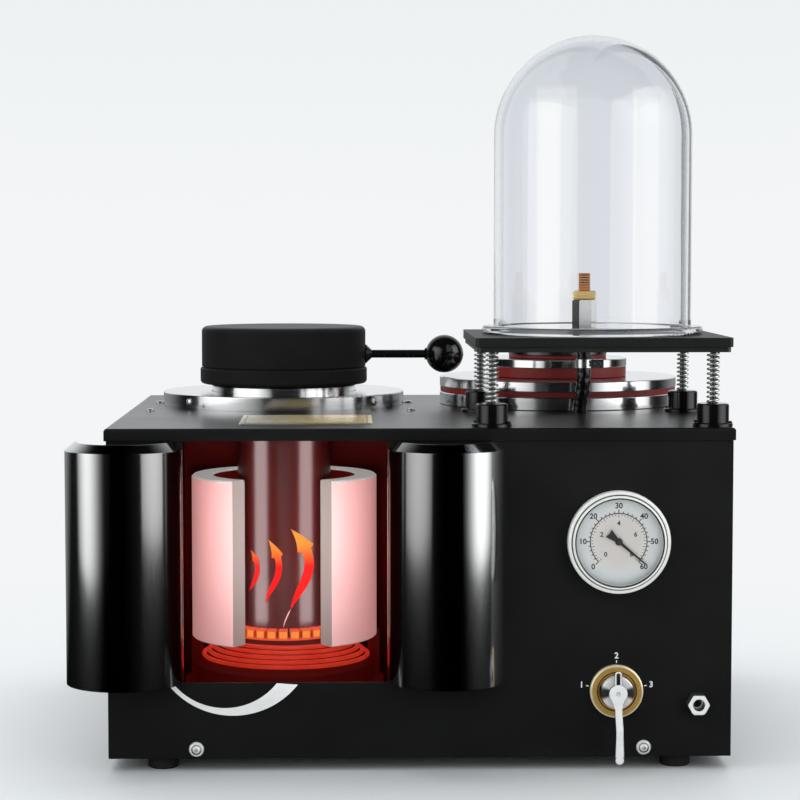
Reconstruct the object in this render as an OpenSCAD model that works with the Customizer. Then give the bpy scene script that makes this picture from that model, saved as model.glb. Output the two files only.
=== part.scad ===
// Bench-top vacuum casting machine with a built-in melting furnace, for jewelry work.
// The left half is the furnace, shown as a display cut-away: the front panel has a window, the
// ceramic liner is sectioned, and the skin that was cut out stands as two rolled-back panels.
// The right half is the casting chamber, with the sprung bell jar table standing over its front.
// Sizes named _x and _y are taken from the middle of the case and from the front panel's face.

/* [Case] */
// Width over the top cover's lips
case_w = 611; // [609:1:640]
// Depth from the front panel's face to the rear cover's face
case_d = 500; // [496:1:560]
// Height from the base tray's underside to the top cover
case_h = 322; // [316:1:350]
// Sheet thickness of the case panels
sheet = 2; // [1.5:0.25:2.5]
// Rounding of the top cover's folded edges
fold_r = 3; // [2.5:0.25:3.5]
// Height of the top cover's folded lip
lip_h = 10; // [8:0.5:12]
// Height of the base tray's rim
tray_rim_h = 18; // [16:1:22]
// Width of the flanges folded on the side panels
flange_w = 14; // [12:1:18]
// Space between the furnace enclosure and the partition wall
partition_gap = 46; // [42:1:50]
// Distance of the furnace's and the chamber's axes from the rear
axis_back = 145; // [142:1:150]
// Top cover left free beside the furnace ring
left_margin = 29.5; // [26:0.5:32]
// Top cover left free beside the chamber's flange
right_margin = 8.5; // [7:0.5:11]
// Space between the furnace ring and the chamber's flange
ring_gap = 41; // [36:1:46]
// How much larger than the two rings' mean radius the furnace ring is
ring_more = 1; // [0:0.5:2]

/* [Feet and case screws] */
// Diameter of a rubber foot
foot_d = 30; // [26:1:36]
// Height of a rubber foot
foot_h = 13; // [11:0.5:18]
// Distance of a foot from the side of the case
foot_side = 53.5; // [45:0.5:70]
// Distance of the feet from the front and rear faces
foot_inset = 25; // [22:1:40]
// Thread diameter of the case screws
screw_d = 5; // [4:0.5:6]
// Distance of a front screw from the side of the case
front_screw_in = 87.5; // [80:0.5:100]
// Height of the large front screws above the tray's underside
front_screw_z = 9; // [8.5:0.5:12]
// Diameter of the washer under a large front screw
front_washer_d = 15; // [13:0.5:17]

/* [Window and rolled-back panels] */
// Middle of the window to the right of the furnace's axis
window_shift = 11; // [8:0.5:14]
// Width of the window
window_w = 197.8; // [180:1:202]
// Height of the window
window_h = 235.7; // [215:1:240]
// Distance from the window's top to the top cover's face
window_drop = 12; // [12:0.5:18]
// Outer radius of a rolled-back panel
roll_r = 56.5; // [50:0.5:58]
// Thickness of a rolled-back panel
roll_t = 12; // [8:0.5:16]
// Height of a rolled-back panel
roll_h = 234; // [215:1:240]
// Bevel at the top edge of a rolled-back panel
roll_bevel = 8; // [4:0.5:10]

/* [Furnace enclosure] */
// Inside width of the enclosure
enclosure_w = 240; // [232:1:246]
// Clear space between the furnace's axis and the rear wall
enclosure_back = 118; // [116:1:124]
// Reach of the enclosure's top plate past its walls
enclosure_ear = 28; // [24:1:30]

/* [Base brick and heating element] */
// Radius of the brick's foot
brick_r = 112; // [110:0.5:115]
// Height of the brick's foot
brick_foot_h = 8; // [6:1:12]
// Height of the glowing ring's seat above the enclosure's floor
brick_h = 60; // [58:1:66]
// Mean radius of the element's outer turn
coil_r_out = 94.5; // [92:0.5:95.5]
// Mean radius of the element's inner turn
coil_r_in = 66; // [65.5:0.5:68]
// Rise from the outer turn to the inner turn
coil_rise = 22; // [18:0.5:25]
// Turns of the element
coil_turns = 5; // [4:1:5]
// Wire radius of the element
coil_wire_r = 2.4; // [1.8:0.1:2.5]
// Radius of the glowing ring
glow_r = 62.5; // [60:0.5:63]
// Height of the glowing ring
glow_h = 12; // [9:1:16]
// Blocks round the glowing ring
glow_blocks = 30; // [20:1:36]
// Width of the slots between the glowing blocks
glow_slot = 2.6; // [2:0.2:4]

/* [Furnace tube and liner] */
// Outer radius of the furnace tube
tube_r = 52; // [49:0.5:53]
// Wall of the furnace tube
tube_wall = 6; // [4:0.5:7]
// Outer radius of the ceramic liner
liner_r = 103.6; // [100:0.2:105]
// Inner radius of the ceramic liner
liner_bore_r = 79; // [76:0.5:84]
// Height of the ceramic liner
liner_h = 182; // [170:1:190]
// Height of the liner's underside above the enclosure's floor
liner_lift = 57; // [54:1:62]
// Half angle of the slot cut in the liner's front
liner_slot_angle = 31.5; // [26:0.5:36]
// Radius of the thermocouple's sheath
probe_r = 3; // [2.5:0.25:4]
// Height of the thermocouple above the liner's underside
probe_up = 90; // [60:1:120]

/* [Mouth and furnace ring] */
// Outer radius of the mouth collar
collar_r = 80; // [77:0.5:82]
// Height of the mouth collar above the top cover
collar_rise = 23; // [20:0.5:28]
// Height of the polished furnace ring
ring_h = 15; // [12:0.5:18]
// Sheet thickness of the furnace ring
ring_t = 2; // [1.5:0.25:2.5]
// Angle of the ring's screws from the front
ring_screw_angle = 48; // [40:1:55]

/* [Lid] */
// Radius of the lid's shell
lid_r = 91.4; // [88:0.2:94]
// Height of the lid's shell above its rim
lid_shell_h = 46; // [40:0.5:52]
// Wall of the lid's shell
lid_wall = 2; // [1.5:0.25:3]
// Rounding of the lid's upper edge
lid_round = 6; // [3:0.5:8]
// Radius of the lid's rim
lid_rim_r = 93; // [92:0.2:96]
// Height of the lid's rim
lid_rim_h = 17.6; // [15:0.2:20]
// Radius of the plug that drops into the tube
plug_r = 43; // [38:0.5:43]
// Length of the plug
plug_h = 16; // [12:1:20]
// Height of the handle above the lid's underside
handle_z = 32.2; // [30:0.2:36]
// Diameter of the handle rod
handle_d = 9; // [8:0.5:11]
// Space between the ball knob and the medium ring
knob_gap = 28.8; // [20:0.4:36]
// Diameter of the ball knob
knob_d = 42.4; // [38:0.2:43]

/* [Name plate and cover screws] */
// Width of the bare name plate
plate_w = 132; // [120:1:140]
// Depth of the bare name plate
plate_d = 110; // [90:1:114]
// Thickness of the bare name plate
plate_t = 1.2; // [0.8:0.1:2]
// Distance of the name plate from the front face
plate_y = 52; // [50:1:56]
// Middle of the name plate to the right of the furnace's axis
plate_shift = 30; // [24:1:36]
// Distance of the front cover screws before the furnace's axis
top_screw_front = 115; // [105:1:130]
// Distance of the rear cover screws behind the furnace's axis
top_screw_rear = 10; // [0:1:30]
// Head diameter of the small pan-head screws
pan_head_d = 9; // [8:0.5:10]
// Thread diameter of the small pan-head screws
pan_d = 4; // [3:0.5:5]

/* [Casting chamber] */
// Height of the chamber's flange
flange_h = 14; // [12:0.5:16]
// Height of the large gasket
large_gasket_h = 6; // [4:0.5:8]
// Height of the large ring
large_ring_h = 11; // [9:0.5:12]
// Radius of the opening in the large ring
large_bore_r = 65; // [62:0.5:68]
// Radius of the medium ring
medium_r = 77; // [75:0.5:80]
// Height of the medium gasket
medium_gasket_h = 11; // [8:0.5:12]
// Height of the medium ring
medium_ring_h = 9.4; // [8:0.2:12]
// Radius of the opening in the medium ring
medium_bore_r = 46; // [44:0.5:48]
// Radius of the small ring
small_r = 55; // [53:0.5:58]
// Height of the small gasket
small_gasket_h = 3; // [2:0.5:4]
// Height of the small ring
small_ring_h = 9; // [8:0.5:12]
// Radius of the flask opening in the small ring
flask_bore_r = 32.5; // [30:0.5:38]
// Outer radius of the chamber
can_r = 100; // [96:0.5:104]
// Wall of the chamber
can_wall = 3; // [2:0.25:4]
// Height of the chamber's bottom above the case's
can_rise = 82; // [78:1:100]

/* [Bell jar table] */
// Distance of the left springs to the left of the chamber's axis
cup_left = 95; // [90:1:100]
// Distance of the front springs behind the front face
cup_front = 19; // [17:1:24]
// Distance of the rear springs before the chamber's axis
cup_back = 136; // [134:1:140]
// How far the pad stands out beyond the springs at each side
pad_over_x = 17; // [14:1:20]
// How far the pad stands out beyond the springs at front and back
pad_over_y = 19; // [17:1:21]
// Thickness of the rubber pad
pad_t = 9; // [7:0.5:11]
// Thickness of the steel plate
table_t = 5; // [4:0.5:6]
// How far the plate stays inside the pad's edge
table_inset = 2; // [1:0.5:4]
// Height of the plate's underside above the top cover
table_rise = 73; // [70:0.5:78]
// Corner radius of the pad and plate
table_round = 4; // [2:0.5:8]
// Outer diameter of a spring
spring_d = 13.3; // [11:0.1:14]
// Wire radius of a spring
spring_wire_r = 1.1; // [0.9:0.1:1.2]
// Coils of a spring
spring_turns = 12; // [9:1:12]
// Diameter of a spring cup
cup_d = 31.4; // [28:0.2:34]
// Height of a spring cup with its flange
cup_h = 22.5; // [18:0.5:26]
// Thickness of a spring cup's flange
cup_flange_t = 4; // [3:0.5:5]
// Diameter of a spring cup's flange
cup_flange_d = 39; // [38:0.5:40]
// Depth of the pocket for the spring
cup_pocket = 6; // [4:0.5:10]
// Diameter of a guide rod
guide_d = 6; // [4:0.5:6]

/* [Bell jar] */
// Outer diameter of the bell jar
jar_d = 200; // [188:1:206]
// Height of the bell jar
jar_h = 300; // [270:1:330]
// Wall of the bell jar
jar_wall = 5; // [4:0.5:7]
// Diameter of the jar's flange
jar_flange_d = 223; // [216:1:226]
// Thickness of the jar's flange
jar_flange_t = 8; // [6:0.5:12]

/* [Vacuum fitting and hose] */
// Distance of the fitting behind the table's middle
fitting_y = 76; // [68:1:76]
// Width across the flats of the fitting's hex
hex_af = 22; // [19:0.5:24]
// Height of the fitting's hex
hex_h = 32.5; // [28:0.5:36]
// Radius of the fitting's stem through the table
stem_r = 6; // [5:0.25:7]
// Bore radius through the fitting
fitting_bore_r = 3; // [2.5:0.25:3.5]
// Diameter of the brass nut
nut_d = 24; // [20:0.5:24]
// Height of the brass nut
nut_h = 9.5; // [7:0.5:12]
// Diameter of the brass tube
pipe_d = 13; // [11:0.5:14]
// Height of the brass tube above its nut
pipe_h = 18.5; // [14:0.5:24]
// Outer radius of the table's hose
hose_r = 7.5; // [6.5:0.25:8]
// Wall of the table's hose
hose_wall = 2.8; // [2.25:0.05:3]
// Height of the hose clamp's band
clamp_h = 9; // [7:0.5:11]

/* [Vacuum gauge] */
// Distance of the gauge's axis from the right side
gauge_side = 113.5; // [108:0.5:120]
// Distance of the gauge below the top cover
gauge_drop = 110.4; // [104:0.4:116]
// Outer diameter of the bezel
bezel_d = 100; // [96:0.5:104]
// Diameter of the open dial
dial_d = 84; // [78:0.5:86]
// Depth of the bezel in front of the panel
bezel_h = 15; // [12:0.5:18]
// Depth of the gauge's case behind the panel
gauge_depth = 34; // [28:1:44]
// Length of the needle's pointer
needle_l = 35; // [30:0.5:37]
// Angle of the needle below the horizontal at no vacuum
needle_rest = 40; // [35:1:45]

/* [Three-way valve and pump port] */
// Distance of the valve's axis from the right side
valve_side = 114.5; // [110:0.5:120]
// Height of the valve's axis above the case's bottom
valve_rise = 64.8; // [60:0.4:70]
// Outer diameter of the brass escutcheon
escutcheon_d = 52; // [48:0.5:56]
// Inner diameter of the brass escutcheon
escutcheon_bore = 34; // [33:0.5:36]
// Thickness of the brass escutcheon
escutcheon_t = 5; // [3:0.5:7]
// Diameter of the valve's body
valve_d = 32; // [28:0.5:32]
// Diameter of the lever's eye
lever_eye_d = 18; // [16:0.5:20]
// Length of the lever from its axis to its tip
lever_l = 66; // [58:0.5:70]
// Width of the lever's arm
lever_w = 7; // [6:0.5:9]
// Thickness of the lever
lever_t = 4; // [3:0.5:5]
// Distance of the pump port from the right side
port_side = 35.5; // [32:0.5:42]
// Height of the pump port above the case's bottom
port_rise = 52.7; // [48:0.4:60]
// Width across the flats of the pump port
port_af = 19; // [17:0.5:22]
// Length of the pump port in front of the panel
port_l = 14; // [10:0.5:18]
// Bore radius of the pump port
port_bore_r = 5.7; // [4.5:0.1:6.5]

/* [Rear cover] */
// Slots in each louvre bank
louvre_rows = 9; // [6:1:10]
// Length of a louvre
louvre_w = 90; // [60:1:100]
// Distance between two louvres
louvre_pitch = 15; // [13:0.5:16]
// Width of the mains inlet's flange
inlet_w = 50; // [46:0.5:54]
// Height of the mains inlet's flange
inlet_h = 58; // [54:0.5:62]
// Distance of the mains inlet from the right side
inlet_side = 47.5; // [42:0.5:60]
// Height of the mains inlet above the tray
inlet_z = 60; // [50:1:80]
// Width of the power switch
switch_w = 19; // [17:0.5:21]
// Height of the power switch
switch_h = 12; // [10:0.5:13]
// Tilt of the power switch from side to side
switch_tilt = 14; // [8:1:16]

/* [Fits] */
// Gap between pieces that only stand near one another
fit_gap = 0.3; // [0.2:0.05:0.4]
// Radial clearance of a turning shaft
run_gap = 0.06; // [0.02:0.01:0.1]
// Radial clearance of a screw or stem in its hole
hole_gap = 0.3; // [0.2:0.05:0.5]

/* [Hidden] */
$fn = 64;
body_x = case_w/2 - sheet;
inner_x = body_x - sheet;
floor_z = foot_h;
tray_z = floor_z + sheet;
top_z = floor_z + case_h;
under_z = top_z - sheet;
panel_top = under_z - (fold_r - sheet);
rear_out = 4;
// The two axes share the width of the top cover
rings_w = case_w - left_margin - right_margin - ring_gap;
ring_r = rings_w/4 + ring_more;
flange_r = rings_w/4 - ring_more;
furnace_x = left_margin + ring_r - case_w/2;
furnace_y = case_d - axis_back;
chamber_x = case_w/2 - right_margin - flange_r;
chamber_y = case_d - axis_back;
front_screw_x = case_w/2 - front_screw_in;
foot_x = case_w/2 - foot_side;
// The table fills the corner in front of the chamber
spring_right = case_w/2 - cup_flange_d/2;
spring_left = chamber_x - cup_left;
spring_span_x = spring_right - spring_left;
spring_span_y = chamber_y - cup_back - cup_front;
table_x = (spring_left + spring_right)/2;
table_y = cup_front + spring_span_y/2;
pad_w = spring_span_x + 2*pad_over_x;
pad_d = spring_span_y + 2*pad_over_y;
window_x = furnace_x + window_shift;
window_left = window_x - window_w/2;
window_right = window_x + window_w/2;
window_top = top_z - window_drop;
roll_left_x = window_left - roll_r;
roll_right_x = window_right + roll_r;
// The frame's origin: the middle of the outer box, on the floor
case_x = -(roll_left_x - roll_r + max(table_x + spring_span_x/2 + cup_flange_d/2, case_w/2))/2;
front_y = -(case_d + rear_out - roll_r)/2;
// Furnace heights
enclosure_z = tray_z + sheet;
brick_top = enclosure_z + brick_h;
liner_z = enclosure_z + liner_lift;
collar_top = top_z + collar_rise;
tube_top = collar_top - 8;
enclosure_left = furnace_x - enclosure_w/2;
enclosure_right = furnace_x + enclosure_w/2;
enclosure_rear = furnace_y + enclosure_back;
partition_x = enclosure_right + partition_gap;
ear_left = 9.5 - inner_x;
ear_right = enclosure_right + sheet + enclosure_ear;
coil_slope = atan(coil_rise/(coil_r_out - coil_r_in));
coil_seat = (coil_wire_r + fit_gap)/cos(coil_slope);
coil_top = brick_top - 4;
coil_base = coil_top - coil_rise;
coil_start = 150;
coil_steps = 48;
lead_out = [coil_r_out*sin(coil_start), -coil_r_out*cos(coil_start)];
lead_in = [coil_r_in*sin(coil_start), -coil_r_in*cos(coil_start)];
lead_in_z = enclosure_z + 22;
stud_r = 2;
bush_r = 5;
post_in = coil_r_out + coil_wire_r + 5;
post_w = 12;
probe_z = liner_z + probe_up;
// Lid heights
lid_z = collar_top + fit_gap;
lid_shell_z = lid_z + lid_rim_h;
handle_axis_z = lid_z + handle_z;
handle_boss_d = 21;
knob_reach = chamber_x - medium_r - furnace_x - knob_gap - knob_d/2;
plate_x = furnace_x + plate_shift;
rim_bore_r = 62;
plate_edge = 6;
plate_screw_d = 2.6;
foot_head_r = 4.5;
foot_head_h = 3.2;
foot_recess = 7;
// Chamber heights
flange_top = top_z + flange_h;
large_top = flange_top + large_gasket_h + large_ring_h;
medium_z = large_top + fit_gap;
medium_top = medium_z + medium_gasket_h + medium_ring_h;
small_z = medium_top + fit_gap;
can_bottom = floor_z + can_rise;
can_h = top_z - can_bottom;
// Table heights
table_z = top_z + table_rise;
pad_z = table_z + table_t;
pad_top = pad_z + pad_t;
jar_z = pad_top + fit_gap;
cup_floor = top_z + cup_h - cup_pocket;
fitting_back = table_y + fitting_y;
spring_steps = 12;
cup_bolt_d = 2;
cup_bolt_r = cup_d/2 + cup_bolt_d - 0.1;
cup_bolt_angle = 25;
guide_hole = 5;
hose_sides = 12;
barb_r = (hose_r - hose_wall)*cos(180/hose_sides) - 0.1;
pipe_threads = 7;
clamp_box = 13;
locknut_h = 5;
barb_h = 24;
hex_chamfer_r = hex_af*0.53;
hose_top = table_z - locknut_h - fit_gap;
clamp_z = table_z - 25;
// Front of the machine
gauge_x = case_w/2 - gauge_side;
gauge_z = top_z - gauge_drop;
valve_x = case_w/2 - valve_side;
valve_z = floor_z + valve_rise;
port_x = case_w/2 - port_side;
port_z = floor_z + port_rise;
inlet_x = case_w/2 - inlet_side;
gauge_can_r = bezel_d/2 - 4;
spindle_r = 1.2;
dial_seat = 2;
dial_t = 1;
needle_z = 4.4;
glass_z = 8;
glass_t = 2;
valve_face = 12;
stem_d = 9;
lever_step = 14;
loop_l = 22;
manifold_w = 44;
line_r = 4;
line_tip_r = 3.4;
line_y = 24;
bend_r = 14;
port_stem_r = port_bore_r + 2.2;
// Floor of the port's socket in front of the panel, and the step down to the channel behind it
port_floor = 1;
port_step = 1.4;
port_block = 18;
louvre_r = 3.6;
louvre_z = under_z - 24 - (louvre_rows - 1)*louvre_pitch;
inlet_mid = tray_z + inlet_z;
inlet_body_w = 40;
inlet_body_h = 50;
inlet_depth = 24;
inlet_flange_t = 2.5;
socket_y = 12;
switch_y = -14;
control_gap = 24;
control_before = 65;
control_x = partition_x + sheet + control_gap;
control_y = chamber_y - control_before;
board_w = 70;
board_d = 110;
board_t = 5;
fin_w = 2.4;
fin_h = 16;
fin_pitch = 8;
bridge_d = 30;
bridge_h = 22;
switch_pivot = -5;
// Points of the hose from the table's plate down into the case, from the fitting's axis
HOSE_PATH = [[0, 0, 0], [0, 0, -26], [-0.5, 1, -36], [-2, 4, -50], [-3.5, 7, -62], [-4.5, 9, -74],
    [-5, 10, -86], [-5, 10, -100]];
hose_x = table_x - 4;
hose_y = fitting_back + 8;
hose_low_x = table_x + HOSE_PATH[len(HOSE_PATH) - 1][0];
hose_low_y = fitting_back + HOSE_PATH[len(HOSE_PATH) - 1][1];

// ---- shared shapes ----

// Places a piece given from the middle of the case and the front face into the frame
module placed() {
    translate([case_x, front_y, 0]) children();
}

// A tube with its foot at height 0
module pipe(r_out, r_in, h, fn = 96) {
    difference() {
        cylinder(r = r_out, h = h, $fn = fn);
        translate([0, 0, -1]) cylinder(r = r_in, h = h + 2, $fn = fn);
    }
}

// A hex bar standing on height 0
module hex_bar(af, h) {
    cylinder(r = af/2/cos(30), h = h, $fn = 6);
}

// A flat rectangle with round corners, centred
module rounded_plate(w, d, h, r) {
    linear_extrude(h) {
        square([w, d - 2*r], center = true);
        square([w - 2*r, d], center = true);
        for (x = [-1, 1], y = [-1, 1]) translate([x*(w/2 - r), y*(d/2 - r)]) circle(r);
    }
}

// Turns a shape that stands along Z to point to the front
module to_front() {
    rotate([90, 0, 0]) children();
}

// Turns a shape that stands along Z to point to the back
module to_back() {
    rotate([-90, 0, 0]) children();
}

// The section of a folded cover: a rectangle whose upper corners are round
module fold_section(w, h, r) {
    translate([-w/2, 0]) square([w, h - r]);
    translate([r - w/2, 0]) square([w - 2*r, h]);
    for (x = [-1, 1]) translate([x*(w/2 - r), h - r]) circle(r);
}

// A block with rounded upper edges, centred, standing on height 0
module fold_block(w, d, h, r) {
    intersection() {
        translate([0, d/2, 0]) rotate([90, 0, 0]) linear_extrude(d) fold_section(w, h, r);
        translate([-w/2, 0, 0]) rotate([90, 0, 90]) linear_extrude(w) fold_section(d, h, r);
    }
}

// Pan-head screw: its head stands on height 0, its thread points down
module pan_screw(head_d, head_h, d, l) {
    rotate_extrude() intersection() {
        translate([0, head_h - head_d*0.72]) circle(head_d*0.72);
        square([head_d/2, head_h]);
    }
    translate([0, 0, -l]) cylinder(d = d, h = l + 0.01);
}

// Places its child on the four corners of a rectangle
module corners(dx, dy) {
    for (x = [-1, 1], y = [-1, 1]) translate([x*dx, y*dy, 0]) children();
}

// A shape made of triangles and quads along a path, with one round section at every point.
// Each point has a reference direction that must not run along the path.
function unit(v) = v/norm(v);
function heading(path, i) = unit(path[min(i + 1, len(path) - 1)] - path[max(i - 1, 0)]);
function section(path, refs, i, r, sides) =
    let (t = heading(path, i), s = unit(cross(t, refs[i])), u = cross(s, t))
    [for (k = [0:sides - 1]) path[i] + r*(cos(360*k/sides)*s + sin(360*k/sides)*u)];

module sweep(path, refs, r, sides) {
    n = len(path);
    last = (n - 1)*sides;
    points = [for (i = [0:n - 1]) each section(path, refs, i, r, sides)];
    walls = [for (i = [0:n - 2], k = [0:sides - 1])
        let (a = i*sides + k, b = i*sides + (k + 1) % sides)
        each [[a, b, b + sides], [a, b + sides, a + sides]]];
    ends = [[for (k = [sides - 1:-1:0]) k], [for (k = [0:sides - 1]) last + k]];
    polyhedron(points, concat(walls, ends), convexity = 12);
}

// ---- case ----

module case_screw_holes() {
    for (s = [-1, 1]) {
        translate([s*front_screw_x, -1, floor_z + front_screw_z])
            to_back() cylinder(d = screw_d + 2*hole_gap, h = 3*sheet + 1);
    }
}

module rear_screw_places() {
    for (s = [-1, 1], z = [floor_z + tray_rim_h + 16, under_z - 20])
        translate([s*(inner_x - flange_w/2), case_d, z]) to_back() children();
}

module top_screw_places() {
    for (s = [-1, 1], y = [-top_screw_front, top_screw_rear])
        translate([furnace_x + s*(ring_r + pan_head_d/2 + 1), furnace_y + y, top_z]) children();
}

module base_tray() {
    w = 2*inner_x;
    d = case_d - 2*sheet;
    color("#1b1b1c") placed() difference() {
        union() {
            translate([-inner_x, sheet, floor_z]) cube([w, d, sheet]);
            for (y = [sheet, case_d - 2*sheet])
                translate([-inner_x, y, floor_z]) cube([w, sheet, tray_rim_h]);
            for (x = [-inner_x, inner_x - sheet])
                translate([x, sheet, floor_z]) cube([sheet, d, tray_rim_h]);
        }
        case_screw_holes();
        translate([0, case_d/2, floor_z - 1]) corners(foot_x, case_d/2 - foot_inset)
            cylinder(d = screw_d, h = sheet + 2);
    }
}

module front_panel() {
    color("#1b1b1c") placed() difference() {
        translate([-body_x, 0, floor_z]) cube([2*body_x, sheet, panel_top - floor_z]);
        translate([window_left, -1, window_top - window_h]) cube([window_w, sheet + 2, window_h]);
        translate([gauge_x, -1, gauge_z]) to_back() cylinder(r = gauge_can_r + hole_gap, h = sheet + 2);
        translate([valve_x, -1, valve_z]) to_back() cylinder(d = valve_d + 2*hole_gap, h = sheet + 2);
        translate([port_x, -1, port_z]) to_back() cylinder(r = port_stem_r + hole_gap, h = sheet + 2);
        case_screw_holes();
    }
}

module side_panels() {
    h = panel_top - floor_z;
    flange_h0 = h - tray_rim_h;
    color("#1b1b1c") placed() for (s = [0, 1]) mirror([s, 0, 0]) difference() {
        union() {
            translate([inner_x, sheet, floor_z]) cube([sheet, case_d - 2*sheet, h]);
            for (y = [sheet, case_d - 2*sheet])
                translate([inner_x - flange_w, y, floor_z + tray_rim_h])
                    cube([flange_w, sheet, flange_h0]);
        }
        rear_screw_places() translate([0, 0, -2*sheet - 1]) cylinder(d = pan_d + 2*hole_gap, h = sheet + 2);
    }
}

// One louvre: a slot with a round hood pressed over it
module louvre_hood() {
    rotate([0, 90, 0]) linear_extrude(louvre_w) intersection() {
        difference() {
            circle(louvre_r);
            circle(louvre_r - sheet*0.6);
        }
        translate([-louvre_r, 0]) square([louvre_r, louvre_r]);
    }
}

module louvre_places() {
    for (x = [furnace_x, chamber_x - 20], k = [0:louvre_rows - 1])
        translate([x - louvre_w/2, case_d, louvre_z + k*louvre_pitch]) children();
}

module rear_cover() {
    color("#1b1b1c") placed() {
        difference() {
            translate([-body_x, case_d - sheet, floor_z])
                cube([2*body_x, sheet, panel_top - floor_z]);
            louvre_places() translate([0, -sheet - 1, 0]) cube([louvre_w, sheet + 2, louvre_r - sheet*0.6]);
            rear_screw_places() translate([0, 0, -sheet - 1]) cylinder(d = pan_d + 2*hole_gap, h = sheet + 2);
            translate([inlet_x, case_d, inlet_mid])
                cube([inlet_body_w + 2*fit_gap, 2*sheet + 2, inlet_body_h + 2*fit_gap], center = true);
        }
        louvre_places() louvre_hood();
    }
}

module top_cover() {
    lip = lip_h + sheet;
    color("#222224") placed() difference() {
        translate([0, case_d/2, top_z - lip]) difference() {
            fold_block(case_w, case_d + 2*sheet, lip, fold_r);
            translate([0, 0, -1])
                fold_block(case_w - 2*sheet, case_d, lip - sheet + 1, fold_r - sheet);
        }
        translate([furnace_x, furnace_y, under_z - 1]) cylinder(r = collar_r + 1, h = sheet + 2);
        translate([chamber_x, chamber_y, under_z - 1]) cylinder(r = can_r + 1, h = sheet + 2);
        translate([hose_x, hose_y, under_z - 1]) cylinder(r = hose_r + 1, h = sheet + 2);
        top_screw_places() translate([0, 0, -sheet - 1]) cylinder(d = pan_d + 2*hole_gap, h = sheet + 2);
        cup_places() cup_bolt_places() translate([0, 0, -sheet - 1]) cylinder(d = cup_bolt_d, h = sheet + 2);
        name_plate_screw_places() translate([0, 0, -sheet - 1]) cylinder(d = plate_screw_d, h = sheet + 2);
    }
}

module partition_wall() {
    color("#8d9093") placed()
        translate([partition_x, 2*sheet, tray_z]) cube([sheet, case_d - 4*sheet, under_z - tray_z]);
}

module rubber_feet() {
    color("#101010") placed() translate([0, case_d/2, 0]) corners(foot_x, case_d/2 - foot_inset)
        rotate_extrude() difference() {
            polygon([[0, 0], [foot_d/2 - 1.5, 0], [foot_d/2, 1.5], [foot_d/2, foot_h], [0, foot_h]]);
            square([foot_head_r + 0.5, foot_recess]);
            square([screw_d/2 + hole_gap, foot_h]);
        }
}

module foot_screws() {
    color("#9a9c9f") placed() translate([0, case_d/2, 0]) corners(foot_x, case_d/2 - foot_inset)
        difference() {
            union() {
                translate([0, 0, foot_recess - foot_head_h]) cylinder(r = foot_head_r, h = foot_head_h);
                translate([0, 0, foot_recess]) cylinder(d = screw_d, h = tray_z - foot_recess);
            }
            translate([0, 0, foot_recess - foot_head_h - 1]) cylinder(r = 2, h = 3, $fn = 6);
        }
}

module front_screws() {
    head_r = screw_d*0.95;
    color("#c9cbcd") placed() for (s = [-1, 1])
        translate([s*front_screw_x, 0, floor_z + front_screw_z]) to_front() difference() {
            union() {
                rotate_extrude() difference() {
                    square([front_washer_d/2, 1.8]);
                    translate([front_washer_d/2, 1.8]) circle(0.8);
                }
                rotate_extrude() intersection() {
                    translate([0, 1.8 + 4 - head_r*1.2]) circle(head_r*1.2);
                    translate([0, 1.8]) square([head_r, 4]);
                }
                translate([0, 0, -3*sheet - 2]) cylinder(d = screw_d, h = 3*sheet + 2.5);
            }
            translate([0, 0, 3.4]) cylinder(d = screw_d*0.6/cos(30), h = 4, $fn = 6);
        }
}

module pan_screws() {
    color("#c9cbcd") placed() {
        rear_screw_places() pan_screw(pan_head_d, 2.6, pan_d, 8);
        top_screw_places() pan_screw(pan_head_d, 2.8, pan_d, 8);
        name_plate_screw_places() translate([0, 0, plate_t])
            pan_screw(plate_screw_d*2, 1.4, plate_screw_d, plate_t + sheet);
    }
}

module roll_panels() {
    color("#141415") placed() for (x = [roll_left_x, roll_right_x])
        translate([x, 0, window_top - roll_h]) difference() {
            rotate_extrude($fn = 128) difference() {
                polygon([[0, 0], [roll_r, 0], [roll_r, roll_h - roll_bevel],
                    [roll_r - roll_bevel*1.2, roll_h], [0, roll_h]]);
                square([2*(roll_r - roll_t), roll_h*3], center = true);
            }
            translate([-roll_r - 1, 0, -1]) cube([2*roll_r + 2, roll_r + 1, roll_h + 2]);
        }
}

// ---- furnace ----

module at_furnace(z) {
    translate([furnace_x, furnace_y, z]) children();
}

module furnace_enclosure() {
    outer_w = enclosure_w + 2*sheet;
    outer_d = enclosure_rear - sheet;
    color("#4a0806") placed() difference() {
        union() {
            translate([enclosure_left - sheet, 2*sheet, tray_z]) cube([outer_w, outer_d, under_z - tray_z]);
            translate([ear_left, 2*sheet, under_z - sheet]) cube([ear_right - ear_left, outer_d, sheet]);
        }
        translate([enclosure_left, sheet, enclosure_z])
            cube([enclosure_w, enclosure_rear - sheet, under_z - sheet - enclosure_z]);
        at_furnace(under_z - sheet - 1) cylinder(r = tube_r + 1, h = sheet + 2);
        top_screw_places() translate([0, 0, -2*sheet - 1]) cylinder(d = pan_d + 2*hole_gap, h = sheet + 2);
        at_furnace(probe_z) to_back() cylinder(r = probe_r + hole_gap, h = enclosure_back + 10);
        terminal_places() cylinder(r = bush_r + hole_gap, h = 20, center = true);
    }
}

// The two terminals stand in the rear wall, one for each end of the element
module terminal_places() {
    for (p = [[lead_out[0], coil_base], [lead_in[0], lead_in_z]])
        translate([furnace_x + p[0], enclosure_rear, p[1]]) to_back() children();
}

module brick_post() {
    rotate([90, 0, 0]) linear_extrude(post_w, center = true)
        polygon([[post_in, 0], [brick_r, 0], [brick_r, liner_lift], [liner_bore_r + 7, liner_lift],
            [liner_bore_r + 7, liner_lift - 4], [post_in, liner_lift - 15]]);
}

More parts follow.
